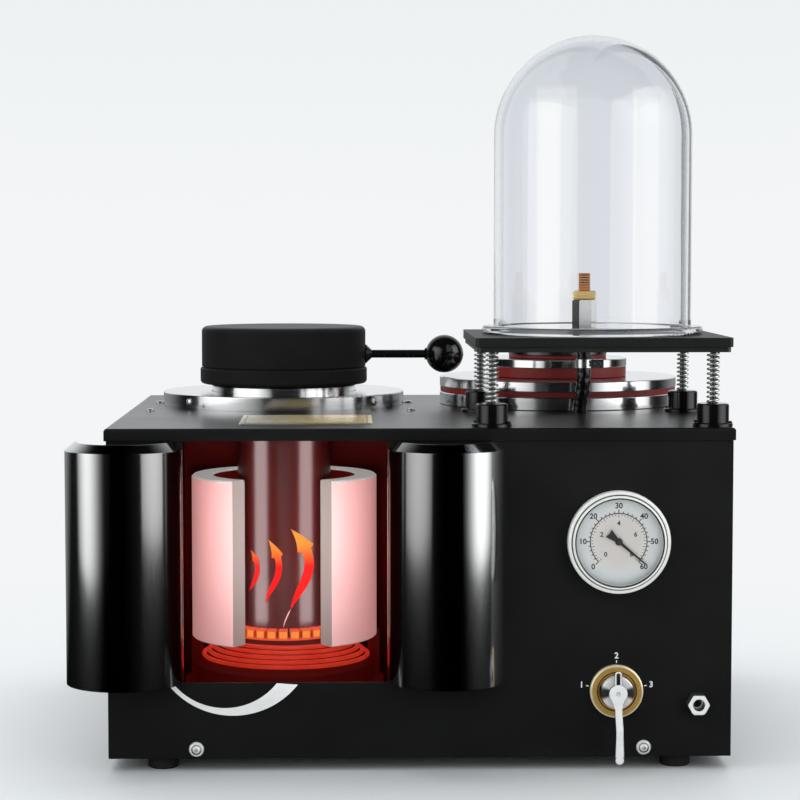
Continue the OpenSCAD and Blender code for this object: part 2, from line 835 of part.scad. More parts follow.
module base_brick() {
    cone_low = coil_base - coil_seat - 5*tan(coil_slope) - enclosure_z;
    cone_high = coil_top - coil_seat + (coil_r_in - glow_r)*tan(coil_slope) - enclosure_z;
    color("#5a0f0a") placed() at_furnace(enclosure_z) difference() {
        union() {
            rotate_extrude($fn = 96) polygon([[0, 0], [brick_r, 0], [brick_r, brick_foot_h],
                [coil_r_out + 5, brick_foot_h], [coil_r_out + 5, cone_low], [glow_r, cone_high],
                [glow_r, brick_h], [0, brick_h]]);
            for (a = [20, 90, 160]) rotate([0, 0, a]) brick_post();
        }
        translate([lead_in[0], lead_in[1], lead_in_z - enclosure_z - 6])
            cylinder(r = coil_wire_r + 1.2, h = brick_h);
        translate([lead_in[0], lead_in[1], lead_in_z - enclosure_z])
            to_back() cylinder(r = stud_r + fit_gap, h = enclosure_back);
    }
}

module heating_element() {
    spiral = [for (k = [0:coil_turns*coil_steps])
        let (f = k/(coil_turns*coil_steps), a = coil_start - 360*coil_turns*f,
            r = coil_r_out + (coil_r_in - coil_r_out)*f)
        [r*sin(a), -r*cos(a), coil_base + coil_rise*f]];
    tail_out = [[lead_out[0], enclosure_back - 6, coil_base], [lead_out[0], lead_out[1] + 6, coil_base]];
    tail_in = [[lead_in[0], lead_in[1], coil_top - 3], [lead_in[0], lead_in[1], lead_in_z + stud_r + 0.3]];
    path = concat(tail_out, spiral, tail_in);
    refs = [for (p = path) unit([p[0], p[1], 0])];
    color("#ff5a24") placed() at_furnace(0) sweep(path, refs, coil_wire_r, 8);
}

module element_terminals() {
    color("#d8d2c4") placed() {
        terminal_places() difference() {
            union() {
                translate([0, 0, -5]) cylinder(r = bush_r, h = 5 + sheet + 7);
                translate([0, 0, sheet]) cylinder(r = bush_r + 2.5, h = 4);
            }
            translate([0, 0, -6]) cylinder(r = stud_r, h = 30);
        }
        translate([furnace_x + lead_out[0], enclosure_rear, coil_base]) to_back()
            translate([0, 0, -6 + fit_gap]) cylinder(r = stud_r, h = 6 + sheet + 12 - fit_gap);
        translate([furnace_x + lead_in[0], furnace_y + lead_in[1], lead_in_z]) to_back()
            cylinder(r = stud_r, h = enclosure_back - lead_in[1] + sheet + 12);
    }
}

module glowing_ring() {
    color("#ff8c1e") placed() at_furnace(brick_top) difference() {
        pipe(glow_r, tube_r + 1, glow_h);
        for (k = [0:glow_blocks - 1]) rotate([0, 0, 360*k/glow_blocks])
            translate([tube_r - 2, -glow_slot/2, 2.5]) cube([glow_r, glow_slot, glow_h]);
    }
}

module ceramic_liner() {
    reach = liner_r*2;
    color("#f3bcbb") placed() at_furnace(liner_z) difference() {
        rotate_extrude($fn = 128) polygon([[liner_bore_r, 0], [liner_r - 1.5, 0], [liner_r, 1.5],
            [liner_r, liner_h - 2], [liner_r - 2, liner_h], [liner_bore_r + 2, liner_h],
            [liner_bore_r, liner_h - 2]]);
        translate([0, 0, -1]) linear_extrude(liner_h + 2)
            polygon([[0, 0], [reach*sin(liner_slot_angle), -reach*cos(liner_slot_angle)],
                [-reach*sin(liner_slot_angle), -reach*cos(liner_slot_angle)]]);
        translate([0, 0, probe_up]) to_back() cylinder(r = probe_r + 1, h = reach);
    }
}

module furnace_tube() {
    color("#8a4a4c") placed() at_furnace(brick_top) rotate_extrude($fn = 96) difference() {
        translate([tube_r - tube_wall, 0]) square([tube_wall, tube_top - brick_top]);
        translate([tube_r - tube_wall, tube_top - brick_top]) rotate(45) square(2, center = true);
    }
}

module thermocouple() {
    color("#b9bbbd") placed() at_furnace(probe_z) to_back() {
        translate([0, 0, tube_r + fit_gap])
            cylinder(r = probe_r, h = enclosure_back - tube_r + sheet - fit_gap);
        translate([0, 0, enclosure_back + sheet]) cylinder(r = probe_r + 4, h = 14);
    }
}

module mouth_collar() {
    color("#cfc9be") placed() at_furnace(under_z) rotate_extrude($fn = 96)
        polygon([[tube_r + 1, 0], [collar_r, 0], [collar_r, collar_top - under_z - 2],
            [collar_r - 2, collar_top - under_z], [tube_r + 3, collar_top - under_z],
            [tube_r + 1, collar_top - under_z - 2]]);
}

module ring_screw_places() {
    for (a = [-90 - ring_screw_angle, -90 + ring_screw_angle, 90 - ring_screw_angle, 90 + ring_screw_angle])
        rotate([0, 0, a]) translate([ring_r, 0, ring_h/2]) rotate([0, 90, 0]) children();
}

module furnace_ring() {
    color("#c8cacd") placed() at_furnace(top_z) difference() {
        rotate_extrude($fn = 128) {
            translate([collar_r + 1, ring_h - ring_t]) square([ring_r - collar_r - 2, ring_t]);
            translate([ring_r - ring_t, 0]) square([ring_t, ring_h - 1]);
            translate([ring_r - 1, ring_h - 1]) circle(1);
        }
        ring_screw_places() cylinder(d = pan_d + 2*hole_gap, h = 12, center = true);
    }
}

module ring_screws() {
    color("#c9cbcd") placed() at_furnace(top_z) ring_screw_places() difference() {
        pan_screw(pan_head_d - 1, 2.6, pan_d, 7);
        translate([0, 0, 1.2]) cylinder(r = 1.6, h = 3, $fn = 6);
    }
}

// ---- lid ----

module lid_rim() {
    color("#191919") placed() at_furnace(lid_z) rotate_extrude($fn = 96) difference() {
        translate([rim_bore_r, 0]) square([lid_rim_r - rim_bore_r, lid_rim_h]);
        difference() {
            translate([lid_rim_r - 4, 0]) square([5, 4]);
            translate([lid_rim_r - 4, 4]) circle(4);
        }
        translate([lid_rim_r, lid_rim_h]) circle(0.8);
    }
}

module lid_shell() {
    color("#191919") placed() at_furnace(lid_shell_z) difference() {
        rotate_extrude($fn = 96) {
            difference() {
                union() {
                    square([lid_r - 1.6, 4]);
                    translate([0, 1.6]) square([lid_r, lid_shell_h - lid_round - 1.6]);
                    translate([0, 1.6]) square([lid_r - lid_round, lid_shell_h - 1.6]);
                    translate([lid_r - lid_round, lid_shell_h - lid_round]) circle(lid_round);
                }
                translate([0, -1]) square([lid_r - lid_wall - 1.6, lid_shell_h + 1 - lid_wall - lid_round/2]);
            }
        }
        translate([lid_r - lid_wall - 4, 0, handle_axis_z - lid_shell_z])
            rotate([0, 90, 0]) cylinder(d = handle_d, h = 12);
    }
}

module lid_filling() {
    fill_r = lid_r - lid_wall - 1.6 - fit_gap;
    color("#d9d4c8") placed() at_furnace(lid_z) rotate_extrude($fn = 96)
        polygon([[0, -plug_h], [plug_r - 2, -plug_h], [plug_r, 2 - plug_h], [plug_r, 0],
            [rim_bore_r - fit_gap, 0], [rim_bore_r - fit_gap, lid_rim_h], [fill_r, lid_rim_h],
            [fill_r, lid_rim_h + lid_shell_h - lid_wall - lid_round/2 - fit_gap],
            [0, lid_rim_h + lid_shell_h - lid_wall - lid_round/2 - fit_gap]]);
}

module lid_handle() {
    color("#1d1d1e") placed() at_furnace(handle_axis_z) difference() {
        rotate([0, 90, 0]) {
            translate([0, 0, lid_r - lid_wall - 1.2])
                cylinder(d = handle_d, h = knob_reach - lid_r + lid_wall + 1.2);
            translate([0, 0, lid_r - 3]) cylinder(d = handle_boss_d, h = 4);
            translate([0, 0, lid_r + 1]) cylinder(d1 = handle_boss_d, d2 = handle_d, h = 6);
        }
        difference() {
            translate([0, 0, -handle_boss_d]) cylinder(r = lid_r, h = 2*handle_boss_d, $fn = 96);
            rotate([0, 90, 0]) cylinder(d = handle_d, h = knob_reach);
        }
    }
}

module ball_knob() {
    color("#0c0c0d") placed() at_furnace(handle_axis_z) difference() {
        translate([knob_reach, 0, 0]) rotate([0, 90, 0]) union() {
            sphere(d = knob_d, $fn = 96);
            translate([0, 0, -knob_d/2 - 1]) cylinder(d = handle_d + 4, h = 5);
        }
        translate([knob_reach - knob_d, 0, 0]) rotate([0, 90, 0]) cylinder(d = handle_d, h = knob_d);
    }
}

// ---- name plate ----

module name_plate_screw_places() {
    for (s = [-1, 1])
        translate([plate_x + s*(plate_w/2 - plate_edge), plate_y + plate_edge, top_z]) children();
}

module name_plate() {
    color("#b08a3a") placed() difference() {
        translate([plate_x, plate_y + plate_d/2, top_z]) rounded_plate(plate_w, plate_d, plate_t, 2);
        name_plate_screw_places() translate([0, 0, -1]) cylinder(d = plate_screw_d, h = plate_t + 2);
    }
}

// ---- casting chamber ----

module at_chamber(z) {
    translate([chamber_x, chamber_y, z]) children();
}

// A ring with small chamfers on its outer edges
module seal_ring(r_out, r_in, h, c) {
    rotate_extrude($fn = 128) polygon([[r_in, 0], [r_out - c, 0], [r_out, c], [r_out, h - c],
        [r_out - c, h], [r_in, h]]);
}

module chamber_can() {
    color("#b4b6b8") placed() at_chamber(can_bottom) difference() {
        cylinder(r = can_r, h = can_h, $fn = 96);
        translate([0, 0, can_wall]) cylinder(r = can_r - can_wall, h = can_h, $fn = 96);
        translate([valve_x - chamber_x, 0, -1]) cylinder(r = line_r - 1, h = can_wall + 2);
    }
}

module chamber_flange() {
    color("#c8cacd") placed() at_chamber(top_z)
        seal_ring(flange_r, can_r - can_wall, flange_h, 0.8);
}

module large_gasket() {
    color("#7e2b23") placed() at_chamber(flange_top)
        seal_ring(flange_r - 0.6, can_r - can_wall, large_gasket_h, 0.4);
}

module large_ring() {
    color("#c8cacd") placed() at_chamber(flange_top + large_gasket_h)
        seal_ring(flange_r, large_bore_r, large_ring_h, 0.8);
}

module medium_gasket() {
    color("#7e2b23") placed() at_chamber(medium_z)
        seal_ring(medium_r - 0.5, medium_bore_r, medium_gasket_h, 0.4);
}

module medium_ring() {
    color("#c8cacd") placed() at_chamber(medium_z + medium_gasket_h)
        seal_ring(medium_r, medium_bore_r, medium_ring_h, 0.8);
}

module small_gasket() {
    color("#7e2b23") placed() at_chamber(small_z)
        seal_ring(small_r - 0.5, flask_bore_r, small_gasket_h, 0.3);
}

module small_ring() {
    color("#56585b") placed() at_chamber(small_z + small_gasket_h)
        seal_ring(small_r, flask_bore_r, small_ring_h, 0.8);
}

// ---- bell jar table ----

module cup_places(z = top_z) {
    translate([table_x, table_y, z]) corners(spring_span_x/2, spring_span_y/2) children();
}

module cup_bolt_places() {
    for (a = [-cup_bolt_angle, 180 - cup_bolt_angle])
        rotate([0, 0, a]) translate([cup_bolt_r, 0, 0]) children();
}

module spring_cups() {
    color("#0d0d0e") placed() cup_places() difference() {
        union() {
            rotate_extrude($fn = 64) polygon([[0, 0], [cup_d/2, 0], [cup_d/2, cup_h - 1.2],
                [cup_d/2 - 1.2, cup_h], [0, cup_h]]);
            rotate_extrude($fn = 64) polygon([[0, 0], [cup_flange_d/2, 0], [cup_flange_d/2, cup_flange_t - 1],
                [cup_flange_d/2 - 1, cup_flange_t], [0, cup_flange_t]]);
        }
        translate([0, 0, cup_h - cup_pocket]) cylinder(r = spring_d/2 + 0.5, h = cup_pocket + 1);
        translate([0, 0, 4]) cylinder(d = guide_d, h = cup_h);
        cup_bolt_places() translate([0, 0, -1]) cylinder(d = cup_bolt_d, h = cup_flange_t + 2);
    }
}

module cup_bolts() {
    color("#17181a") placed() cup_places() cup_bolt_places() translate([0, 0, cup_flange_t])
        pan_screw(cup_bolt_d*1.9, 1.8, cup_bolt_d, cup_flange_t + sheet);
}

module guide_rods() {
    color("#a9abae") placed() cup_places(top_z + 4) cylinder(d = guide_d, h = pad_z + 1 - top_z - 4);
}

module table_springs() {
    low = cup_floor + spring_wire_r + 0.05;
    high = table_z - spring_wire_r - 0.1;
    mean_r = spring_d/2 - spring_wire_r;
    coil = [for (k = [0:spring_turns*spring_steps])
        let (a = 360*k/spring_steps, f = k/(spring_turns*spring_steps))
        [mean_r*cos(a), mean_r*sin(a), low + (high - low)*f]];
    refs = [for (p = coil) unit([p[0], p[1], 0])];
    color("#a9abae") placed() cup_places(0) sweep(coil, refs, spring_wire_r, 6);
}

module table_plate() {
    color("#2b2c2e") placed() difference() {
        translate([table_x, table_y, table_z])
            rounded_plate(pad_w - 2*table_inset, pad_d - 2*table_inset, table_t, table_round);
        cup_places(table_z - 1) cylinder(d = guide_d + 1, h = table_t + 2);
        translate([table_x, fitting_back, table_z - 1]) cylinder(r = stem_r, h = table_t + 2);
    }
}

module table_pad() {
    color("#161617") placed() difference() {
        translate([table_x, table_y, pad_z]) rounded_plate(pad_w, pad_d, pad_t, table_round);
        cup_places(pad_z - 1) cylinder(d = guide_d + 1, h = guide_hole + 1);
        translate([table_x, fitting_back, pad_z - 1]) cylinder(r = stem_r, h = pad_t + 2);
    }
}

module bell_jar() {
    r = jar_d/2;
    spring_line = jar_h - r;
    color("#dfe6ea", 0.35) placed() translate([table_x, table_y, jar_z])
        rotate_extrude($fn = 128) intersection() {
            square([jar_flange_d, jar_h]);
            difference() {
                union() {
                    translate([-r, 0]) square([2*r, spring_line]);
                    translate([0, spring_line]) circle(r);
                    square([jar_flange_d/2 - 2.5, jar_flange_t]);
                    translate([0, 2.5]) square([jar_flange_d/2, jar_flange_t - 5]);
                    for (z = [2.5, jar_flange_t - 2.5]) translate([jar_flange_d/2 - 2.5, z]) circle(2.5);
                }
                translate([jar_wall - r, -1]) square([2*(r - jar_wall), spring_line + 1]);
                translate([0, spring_line]) circle(r - jar_wall);
            }
        }
}

// ---- vacuum fitting, hose and clamp ----

module fitting_hex() {
    bottom = table_z - locknut_h - barb_h;
    color("#b8babc") placed() translate([table_x, fitting_back, 0]) difference() {
        union() {
            intersection() {
                translate([0, 0, pad_top]) hex_bar(hex_af, hex_h);
                translate([0, 0, pad_top - 1])
                    cylinder(r1 = hex_chamfer_r, r2 = hex_chamfer_r + hex_h, h = hex_h + 1);
                translate([0, 0, pad_top])
                    cylinder(r1 = hex_chamfer_r + hex_h, r2 = hex_chamfer_r, h = hex_h);
            }
            translate([0, 0, table_z - locknut_h])
                cylinder(r = stem_r, h = table_t + pad_t + locknut_h + 0.01);
            translate([0, 0, table_z - locknut_h]) hex_bar(hex_af - 3, locknut_h);
            translate([0, 0, bottom]) cylinder(r = barb_r, h = barb_h + 0.01);
        }
        translate([0, 0, bottom - 1]) cylinder(r = fitting_bore_r, h = 200);
    }
}

module fitting_tube() {
    pitch = pipe_h/pipe_threads;
    thread = [for (k = [0:pipe_threads - 1], p = [[0.7, 0], [0, pitch/2]])
        [pipe_d/2 - p[0], nut_h + k*pitch + p[1]]];
    color("#b5872f") placed() translate([table_x, fitting_back, pad_top + hex_h]) difference() {
        rotate_extrude() polygon(concat([[0, 0], [nut_d/2 - 1.5, 0], [nut_d/2, 1.5], [nut_d/2, 3.2],
            [nut_d/2 - 1.2, 3.2], [nut_d/2 - 1.2, 4.4], [nut_d/2, 4.4], [nut_d/2, nut_h - 1.5],
            [nut_d/2 - 1.5, nut_h]], thread, [[pipe_d/2 - 0.7, nut_h + pipe_h], [0, nut_h + pipe_h]]));
        translate([0, 0, -1]) cylinder(r = fitting_bore_r, h = nut_h + pipe_h + 2);
    }
}

module table_hose() {
    path = [for (p = HOSE_PATH) p + [table_x, fitting_back, hose_top]];
    refs = [for (p = path) [1, 0, 0]];
    longer = concat([path[0] + [0, 0, 1]], path, [path[len(path) - 1] - [0, 0, 1]]);
    longer_refs = concat([refs[0]], refs, [refs[0]]);
    color("#121213") placed() difference() {
        sweep(path, refs, hose_r, hose_sides);
        sweep(longer, longer_refs, hose_r - hose_wall, hose_sides);
    }
}

module hose_clamp() {
    color("#9fa1a4") placed() translate([table_x, fitting_back, clamp_z]) {
        difference() {
            union() {
                cylinder(r = hose_r + 1.1, h = clamp_h);
                translate([hose_r - 1, -5, 0]) cube([clamp_box + 1, 9, clamp_h]);
            }
            translate([0, 0, -1]) cylinder(r = hose_r + 0.1, h = clamp_h + 2);
        }
        translate([hose_r + clamp_box/2, -5, clamp_h/2]) to_front() difference() {
            cylinder(r = clamp_h*0.4, h = 5);
            translate([0, 0, 4]) cube([clamp_h, 1, 3], center = true);
        }
    }
}

// ---- vacuum gauge: heights run from the panel's face to the front ----

module at_gauge() {
    translate([gauge_x, 0, gauge_z]) to_front() children();
}

module gauge_case() {
    color("#3a3c3f") placed() {
        at_gauge() difference() {
            union() {
                translate([0, 0, -gauge_depth]) cylinder(r = gauge_can_r, h = gauge_depth);
                cylinder(r = bezel_d/2 - 1, h = dial_seat);
            }
            translate([0, 0, 2 - gauge_depth]) difference() {
                cylinder(r = gauge_can_r - 3, h = gauge_depth + 4);
                cylinder(r = 9, h = gauge_depth - 4);
            }
            translate([0, 0, -12]) cylinder(r = spindle_r + run_gap, h = 14);
        }
        translate([gauge_x, line_y, gauge_z - gauge_can_r - 12]) difference() {
            cylinder(r = line_r + 3, h = 20);
            translate([0, gauge_depth/2 + sheet - line_y, gauge_can_r + 12]) to_front()
                cylinder(r = gauge_can_r, h = 3*gauge_depth, center = true);
        }
    }
}

module gauge_bezel() {
    open_r = dial_d/2;
    out_r = bezel_d/2;
    color("#cfd1d3") placed() at_gauge() rotate_extrude($fn = 128) difference() {
        union() {
            translate([open_r + 1.4, dial_seat]) square([out_r - open_r - 1.4, bezel_h - 5 - dial_seat]);
            translate([open_r + 1.4, dial_seat]) square([out_r - open_r - 3.9, bezel_h - 4 - dial_seat]);
            translate([out_r - 2.5, bezel_h - 5.5]) circle(2.5);
            translate([open_r, glass_z + glass_t]) square([3.6, bezel_h - 1.8 - glass_z - glass_t]);
            translate([open_r + 1.8, bezel_h - 1.8]) circle(1.8);
        }
        translate([open_r + 4.2, bezel_h - 2.9]) circle(0.7);
    }
}

module gauge_dial() {
    color("#e4e6ea") placed() at_gauge() translate([0, 0, dial_seat])
        pipe(dial_d/2 + 1, spindle_r + 0.8, dial_t);
}

module gauge_needle() {
    color("#0d0d0d") placed() at_gauge() rotate([0, 0, -needle_rest]) {
        translate([0, 0, needle_z]) linear_extrude(0.8) {
            polygon([[0, -1.6], [needle_l, -0.6], [needle_l, 0.6], [0, 1.6]]);
            polygon([[0, -1.6], [-13, -4.6], [-12, 0], [-13, 4.6], [0, 1.6]]);
            circle(3.6);
        }
        translate([0, 0, needle_z]) cylinder(r = 2.6, h = 2.2);
        translate([0, 0, -8]) cylinder(r = spindle_r, h = needle_z + 8.1);
    }
}

module gauge_glass() {
    color("#e8eef2", 0.3) placed() at_gauge() translate([0, 0, glass_z])
        cylinder(r = dial_d/2 + 1.4 - fit_gap/2, h = glass_t, $fn = 128);
}

// ---- three-way valve, pump port and lines ----

module at_valve() {
    translate([valve_x, 0, valve_z]) to_front() children();
}

module valve_body() {
    color("#b9bbbd") placed() {
        at_valve() difference() {
            union() {
                rotate_extrude() difference() {
                    translate([0, -sheet]) square([valve_d/2, valve_face + sheet]);
                    translate([valve_d/2, valve_face]) circle(1.2);
                    translate([valve_d/2, valve_face - 5]) circle(0.8);
                }
                translate([-manifold_w/2, -manifold_w/2, -manifold_w])
                    cube([manifold_w, manifold_w, manifold_w - sheet]);
            }
            translate([0, 0, -14]) cylinder(r = stem_d/2 + run_gap, h = valve_face + 15);
        }
    }
}

module escutcheon() {
    color("#ad7f2a") placed() at_valve() rotate_extrude($fn = 96) difference() {
        translate([escutcheon_bore/2, 0]) square([(escutcheon_d - escutcheon_bore)/2, escutcheon_t]);
        difference() {
            translate([escutcheon_d/2 - 2, escutcheon_t - 2]) square(3);
            translate([escutcheon_d/2 - 2, escutcheon_t - 2]) circle(2);
        }
        translate([escutcheon_bore/2, escutcheon_t]) rotate(45) square(2, center = true);
    }
}

module valve_lever() {
    front = valve_face + 2 + lever_t;
    back = front - lever_t;
    cheek = lever_eye_d*0.36;
    waist = lever_eye_d*0.82;
    bend = lever_l*0.6;
    tip = lever_w*0.6;
    color("#d6d8da") placed() at_valve() difference() {
        union() {
            intersection() {
                linear_extrude(front + lever_step + 1) {
                    circle(lever_eye_d/2);
                    polygon([[-cheek, -cheek], [cheek, -cheek], [lever_w/2, -waist], [lever_w/2, -bend],
                        [tip, lever_w - lever_l], [-tip, lever_w - lever_l], [-lever_w/2, -bend],
                        [-lever_w/2, -waist]]);
                    translate([0, tip - lever_l]) circle(tip);
                }
                rotate([0, -90, 0]) linear_extrude(lever_eye_d, center = true)
                    polygon([[back, lever_eye_d], [back, -lever_eye_d*0.7],
                        [back + lever_step, -lever_l*0.55], [back + lever_step, -lever_l - 1],
                        [front + lever_step, -lever_l - 1], [front + lever_step, -lever_l*0.5],
                        [front, -lever_eye_d*0.6], [front, lever_eye_d]]);
            }
            translate([0, 0, back]) linear_extrude(lever_t*0.8) difference() {
                union() {
                    translate([-lever_w/2, 0]) square([lever_w, loop_l - lever_w/2]);
                    translate([0, loop_l - lever_w/2]) circle(lever_w/2);
                }
                translate([-lever_w/4, lever_eye_d/2])
                    square([lever_w/2, loop_l - lever_w/2 - lever_eye_d/2]);
                translate([0, loop_l - lever_w/2]) circle(lever_w/4);
            }
            translate([0, 0, -10]) cylinder(d = stem_d, h = back + 10.1);
        }
        translate([0, 0, front - 1]) cylinder(r = 1.9, h = 2, $fn = 6);
    }
}

module pump_port() {
    color("#c6c8ca") placed() translate([port_x, 0, port_z]) to_front() difference() {
        union() {
            intersection() {
                hex_bar(port_af, port_l);
                cylinder(r1 = port_af*0.55 + port_l, r2 = port_af*0.53, h = port_l);
            }
            translate([0, 0, -line_y]) cylinder(r = port_stem_r, h = line_y + 0.01);
            translate([-port_block/2, -port_block/2, -line_y - port_block/2])
                cube([port_block, port_block, port_block]);
            translate([0, 0, -sheet - 5]) hex_bar(port_af + 2, 5);
        }
        translate([0, 0, port_floor]) cylinder(r = port_bore_r, h = port_l);
        translate([0, 0, -line_y - 2]) cylinder(r = port_bore_r - port_step, h = line_y + port_l);
        translate([-port_block, 0, -line_y]) rotate([0, 90, 0]) cylinder(r = line_r - 1, h = port_block);
    }
}

// A quarter bend: it starts at the origin along +Y and ends upwards
module bend_up() {
    translate([0, 0, bend_r]) rotate([0, 90, 0]) rotate_extrude(angle = 90, $fn = 48)
        translate([bend_r, 0]) circle(line_r, $fn = 32);
}

module vacuum_lines() {
    gauge_end = gauge_z - gauge_can_r - 12;
    valve_top = valve_z + manifold_w/2;
    chamber_line_z = valve_z - 6;
    hose_end_z = hose_top + HOSE_PATH[len(HOSE_PATH) - 1][2];
    hose_line_z = valve_top - 8;
    color("#a4673a") placed() {
        translate([gauge_x, line_y, valve_top]) cylinder(r = line_r, h = gauge_end - valve_top);
        translate([valve_x + manifold_w/2, line_y, port_z]) rotate([0, 90, 0])
            cylinder(r = line_r, h = port_x - port_block/2 - valve_x - manifold_w/2);
        translate([valve_x, manifold_w, chamber_line_z]) to_back()
            cylinder(r = line_r, h = chamber_y - bend_r - manifold_w);
        translate([valve_x, chamber_y - bend_r, chamber_line_z]) bend_up();
        translate([valve_x, chamber_y, chamber_line_z + bend_r])
            cylinder(r = line_r, h = can_bottom - chamber_line_z - bend_r);
        translate([hose_low_x, manifold_w, hose_line_z]) to_back()
            cylinder(r = line_r, h = hose_low_y - bend_r - manifold_w);
        translate([hose_low_x, hose_low_y - bend_r, hose_line_z]) bend_up();
        translate([hose_low_x, hose_low_y, hose_line_z + bend_r])
            cylinder(r = line_r, h = hose_end_z - 4 - hose_line_z - bend_r);
        translate([hose_low_x, hose_low_y, hose_end_z - 4])
            cylinder(r = line_tip_r, h = 16);
    }
}

// ---- rear ----

module at_inlet() {
    translate([inlet_x, case_d, inlet_mid]) to_back() children();
}

module mains_inlet() {
    color("#141415") placed() at_inlet() difference() {
        union() {
            rounded_plate(inlet_w, inlet_h, inlet_flange_t, 3);
            translate([-inlet_body_w/2, -inlet_body_h/2, -inlet_depth])
                cube([inlet_body_w, inlet_body_h, inlet_depth]);
        }
        translate([0, socket_y, -16]) linear_extrude(30)
            polygon([[-12.2, -3], [-7, -8.4], [7, -8.4], [12.2, -3], [12.2, 8.4], [-12.2, 8.4]]);
        translate([-switch_w/2 - 1.2, switch_y - switch_h/2 - fit_gap, -14])
            cube([switch_w + 2.4, switch_h + 2*fit_gap, 30]);
        translate([0, switch_y + switch_h/2 + 2, switch_pivot]) to_front()
            cylinder(r = 1.2 + run_gap, h = switch_h + 4);
    }
    color("#c9cbcd") placed() at_inlet() for (p = [[0, -3.5], [-6.5, 2], [6.5, 2]])
        translate([p[0] - 2, socket_y + p[1] - 1, -16]) cube([4, 2, 15]);
}

module power_switch() {
    half = switch_w/2;
    color("#1c1c1d") placed() at_inlet() translate([0, switch_y, switch_pivot])
        rotate([0, -switch_tilt/2, 0]) {
            to_front() linear_extrude(switch_h, center = true)
                polygon([[-half, 4], [half, 4], [half, -7], [0, -5.6], [-half, -7]]);
            to_front() cylinder(r = 1.2, h = switch_h + 2*1.8, center = true);
        }
}

module control_module() {
    color("#6d7073") placed() translate([control_x, control_y, tray_z]) {
        cube([board_w, board_d, board_t]);
        for (x = [1:fin_pitch:board_w - fin_w])
            translate([x, 0, board_t]) cube([fin_w, board_d - bridge_d - 10, fin_h]);
        translate([6, board_d - bridge_d - 4, board_t]) cube([board_w - 12, bridge_d, bridge_h]);
    }
}

base_tray();
front_panel();
side_panels();
rear_cover();
top_cover();
partition_wall();
rubber_feet();
foot_screws();
front_screws();
pan_screws();
roll_panels();
furnace_enclosure();
base_brick();
heating_element();
element_terminals();
glowing_ring();
ceramic_liner();
furnace_tube();
thermocouple();
mouth_collar();
furnace_ring();
ring_screws();
lid_rim();
lid_shell();
lid_filling();
lid_handle();
ball_knob();
name_plate();
chamber_can();
chamber_flange();
large_gasket();
large_ring();
medium_gasket();
medium_ring();
small_gasket();
small_ring();
spring_cups();
cup_bolts();
guide_rods();
table_springs();
table_plate();
table_pad();
bell_jar();
fitting_hex();
fitting_tube();
table_hose();
hose_clamp();
gauge_case();
gauge_bezel();
gauge_dial();
gauge_needle();
gauge_glass();
valve_body();
escutcheon();
valve_lever();
pump_port();
vacuum_lines();
mains_inlet();
power_switch();
control_module();
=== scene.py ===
import math

import bmesh
import bpy
from mathutils import Matrix, Vector
from mathutils.geometry import interpolate_bezier


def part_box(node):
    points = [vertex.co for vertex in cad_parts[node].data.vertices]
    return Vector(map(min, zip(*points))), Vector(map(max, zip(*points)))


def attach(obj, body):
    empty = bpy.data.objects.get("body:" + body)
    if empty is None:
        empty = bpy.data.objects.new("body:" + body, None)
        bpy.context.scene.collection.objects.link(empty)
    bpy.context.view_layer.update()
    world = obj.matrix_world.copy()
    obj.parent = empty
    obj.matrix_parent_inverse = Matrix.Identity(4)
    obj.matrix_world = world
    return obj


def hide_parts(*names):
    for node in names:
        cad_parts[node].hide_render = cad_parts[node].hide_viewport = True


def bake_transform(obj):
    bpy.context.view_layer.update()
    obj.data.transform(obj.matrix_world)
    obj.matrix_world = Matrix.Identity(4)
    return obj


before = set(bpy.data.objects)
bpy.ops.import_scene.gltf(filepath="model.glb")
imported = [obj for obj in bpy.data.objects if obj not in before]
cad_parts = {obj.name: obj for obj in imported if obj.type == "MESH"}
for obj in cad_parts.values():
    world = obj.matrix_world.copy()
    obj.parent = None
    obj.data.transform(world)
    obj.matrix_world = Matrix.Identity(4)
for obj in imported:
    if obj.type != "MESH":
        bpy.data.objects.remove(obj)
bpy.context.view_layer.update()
scene = bpy.context.scene


# ---- View ----
# A long lens some two metres in front of the machine, a little above the lid and tipped slightly
# down, so that the tops of the rings and of the table show as thin ellipses.
camera_data = bpy.data.cameras.new("camera")
camera_data.lens = 101.25
camera_data.sensor_width = 36
camera = bpy.data.objects.new("camera", camera_data)
camera.location = (-0.0512, -2.38875, 0.5077)
camera.rotation_euler = (math.radians(86.16), 0, math.radians(-1.32))
scene.collection.objects.link(camera)
scene.camera = camera
scene.view_settings.view_transform = "Standard"


# ---- Studio ----
# A round sheet of matt white paper in a pale room whose floor runs out of sight. A soft box above
# lights matt surfaces, one at each side is there for mirrors, and mirrors see the front as dark.
FLOOR_R = 14.0
PAPER = "#eceeef"
FAR_AWAY = "#f3f5f6"
SKY = "#ecf0f2"
PAPER_ENDS = 0.36
ROOM_STARTS = 1.25
MATT_FRONT = 1.35
MATT_BACK = 0.4
MIRROR_FRONT = 0.003
MIRROR_FADE = (0.3, 0.85)
FLOOR_IN_MIRRORS = 0.3
FLAG_MIDDLE = 0.43
FLAG_HALF = 0.13


def linear(code):
    """The linear colour of an sRGB hex value."""
    shares = [int(code[at:at + 2], 16) / 255 for at in (1, 3, 5)]
    return [c / 12.92 if c <= 0.04045 else ((c + 0.055) / 1.055) ** 2.4 for c in shares] + [1.0]


def feed(node, sockets):
    """Gives each socket of a node its number, its colour, or the node or socket that drives it."""
    for name, value in sockets.items():
        if isinstance(value, bpy.types.Node):
            value = value.outputs[0]
        if isinstance(value, bpy.types.NodeSocket):
            node.id_data.links.new(value, node.inputs[name])
        elif isinstance(value, str):
            node.inputs[name].default_value = linear(value)
        else:
            node.inputs[name].default_value = value


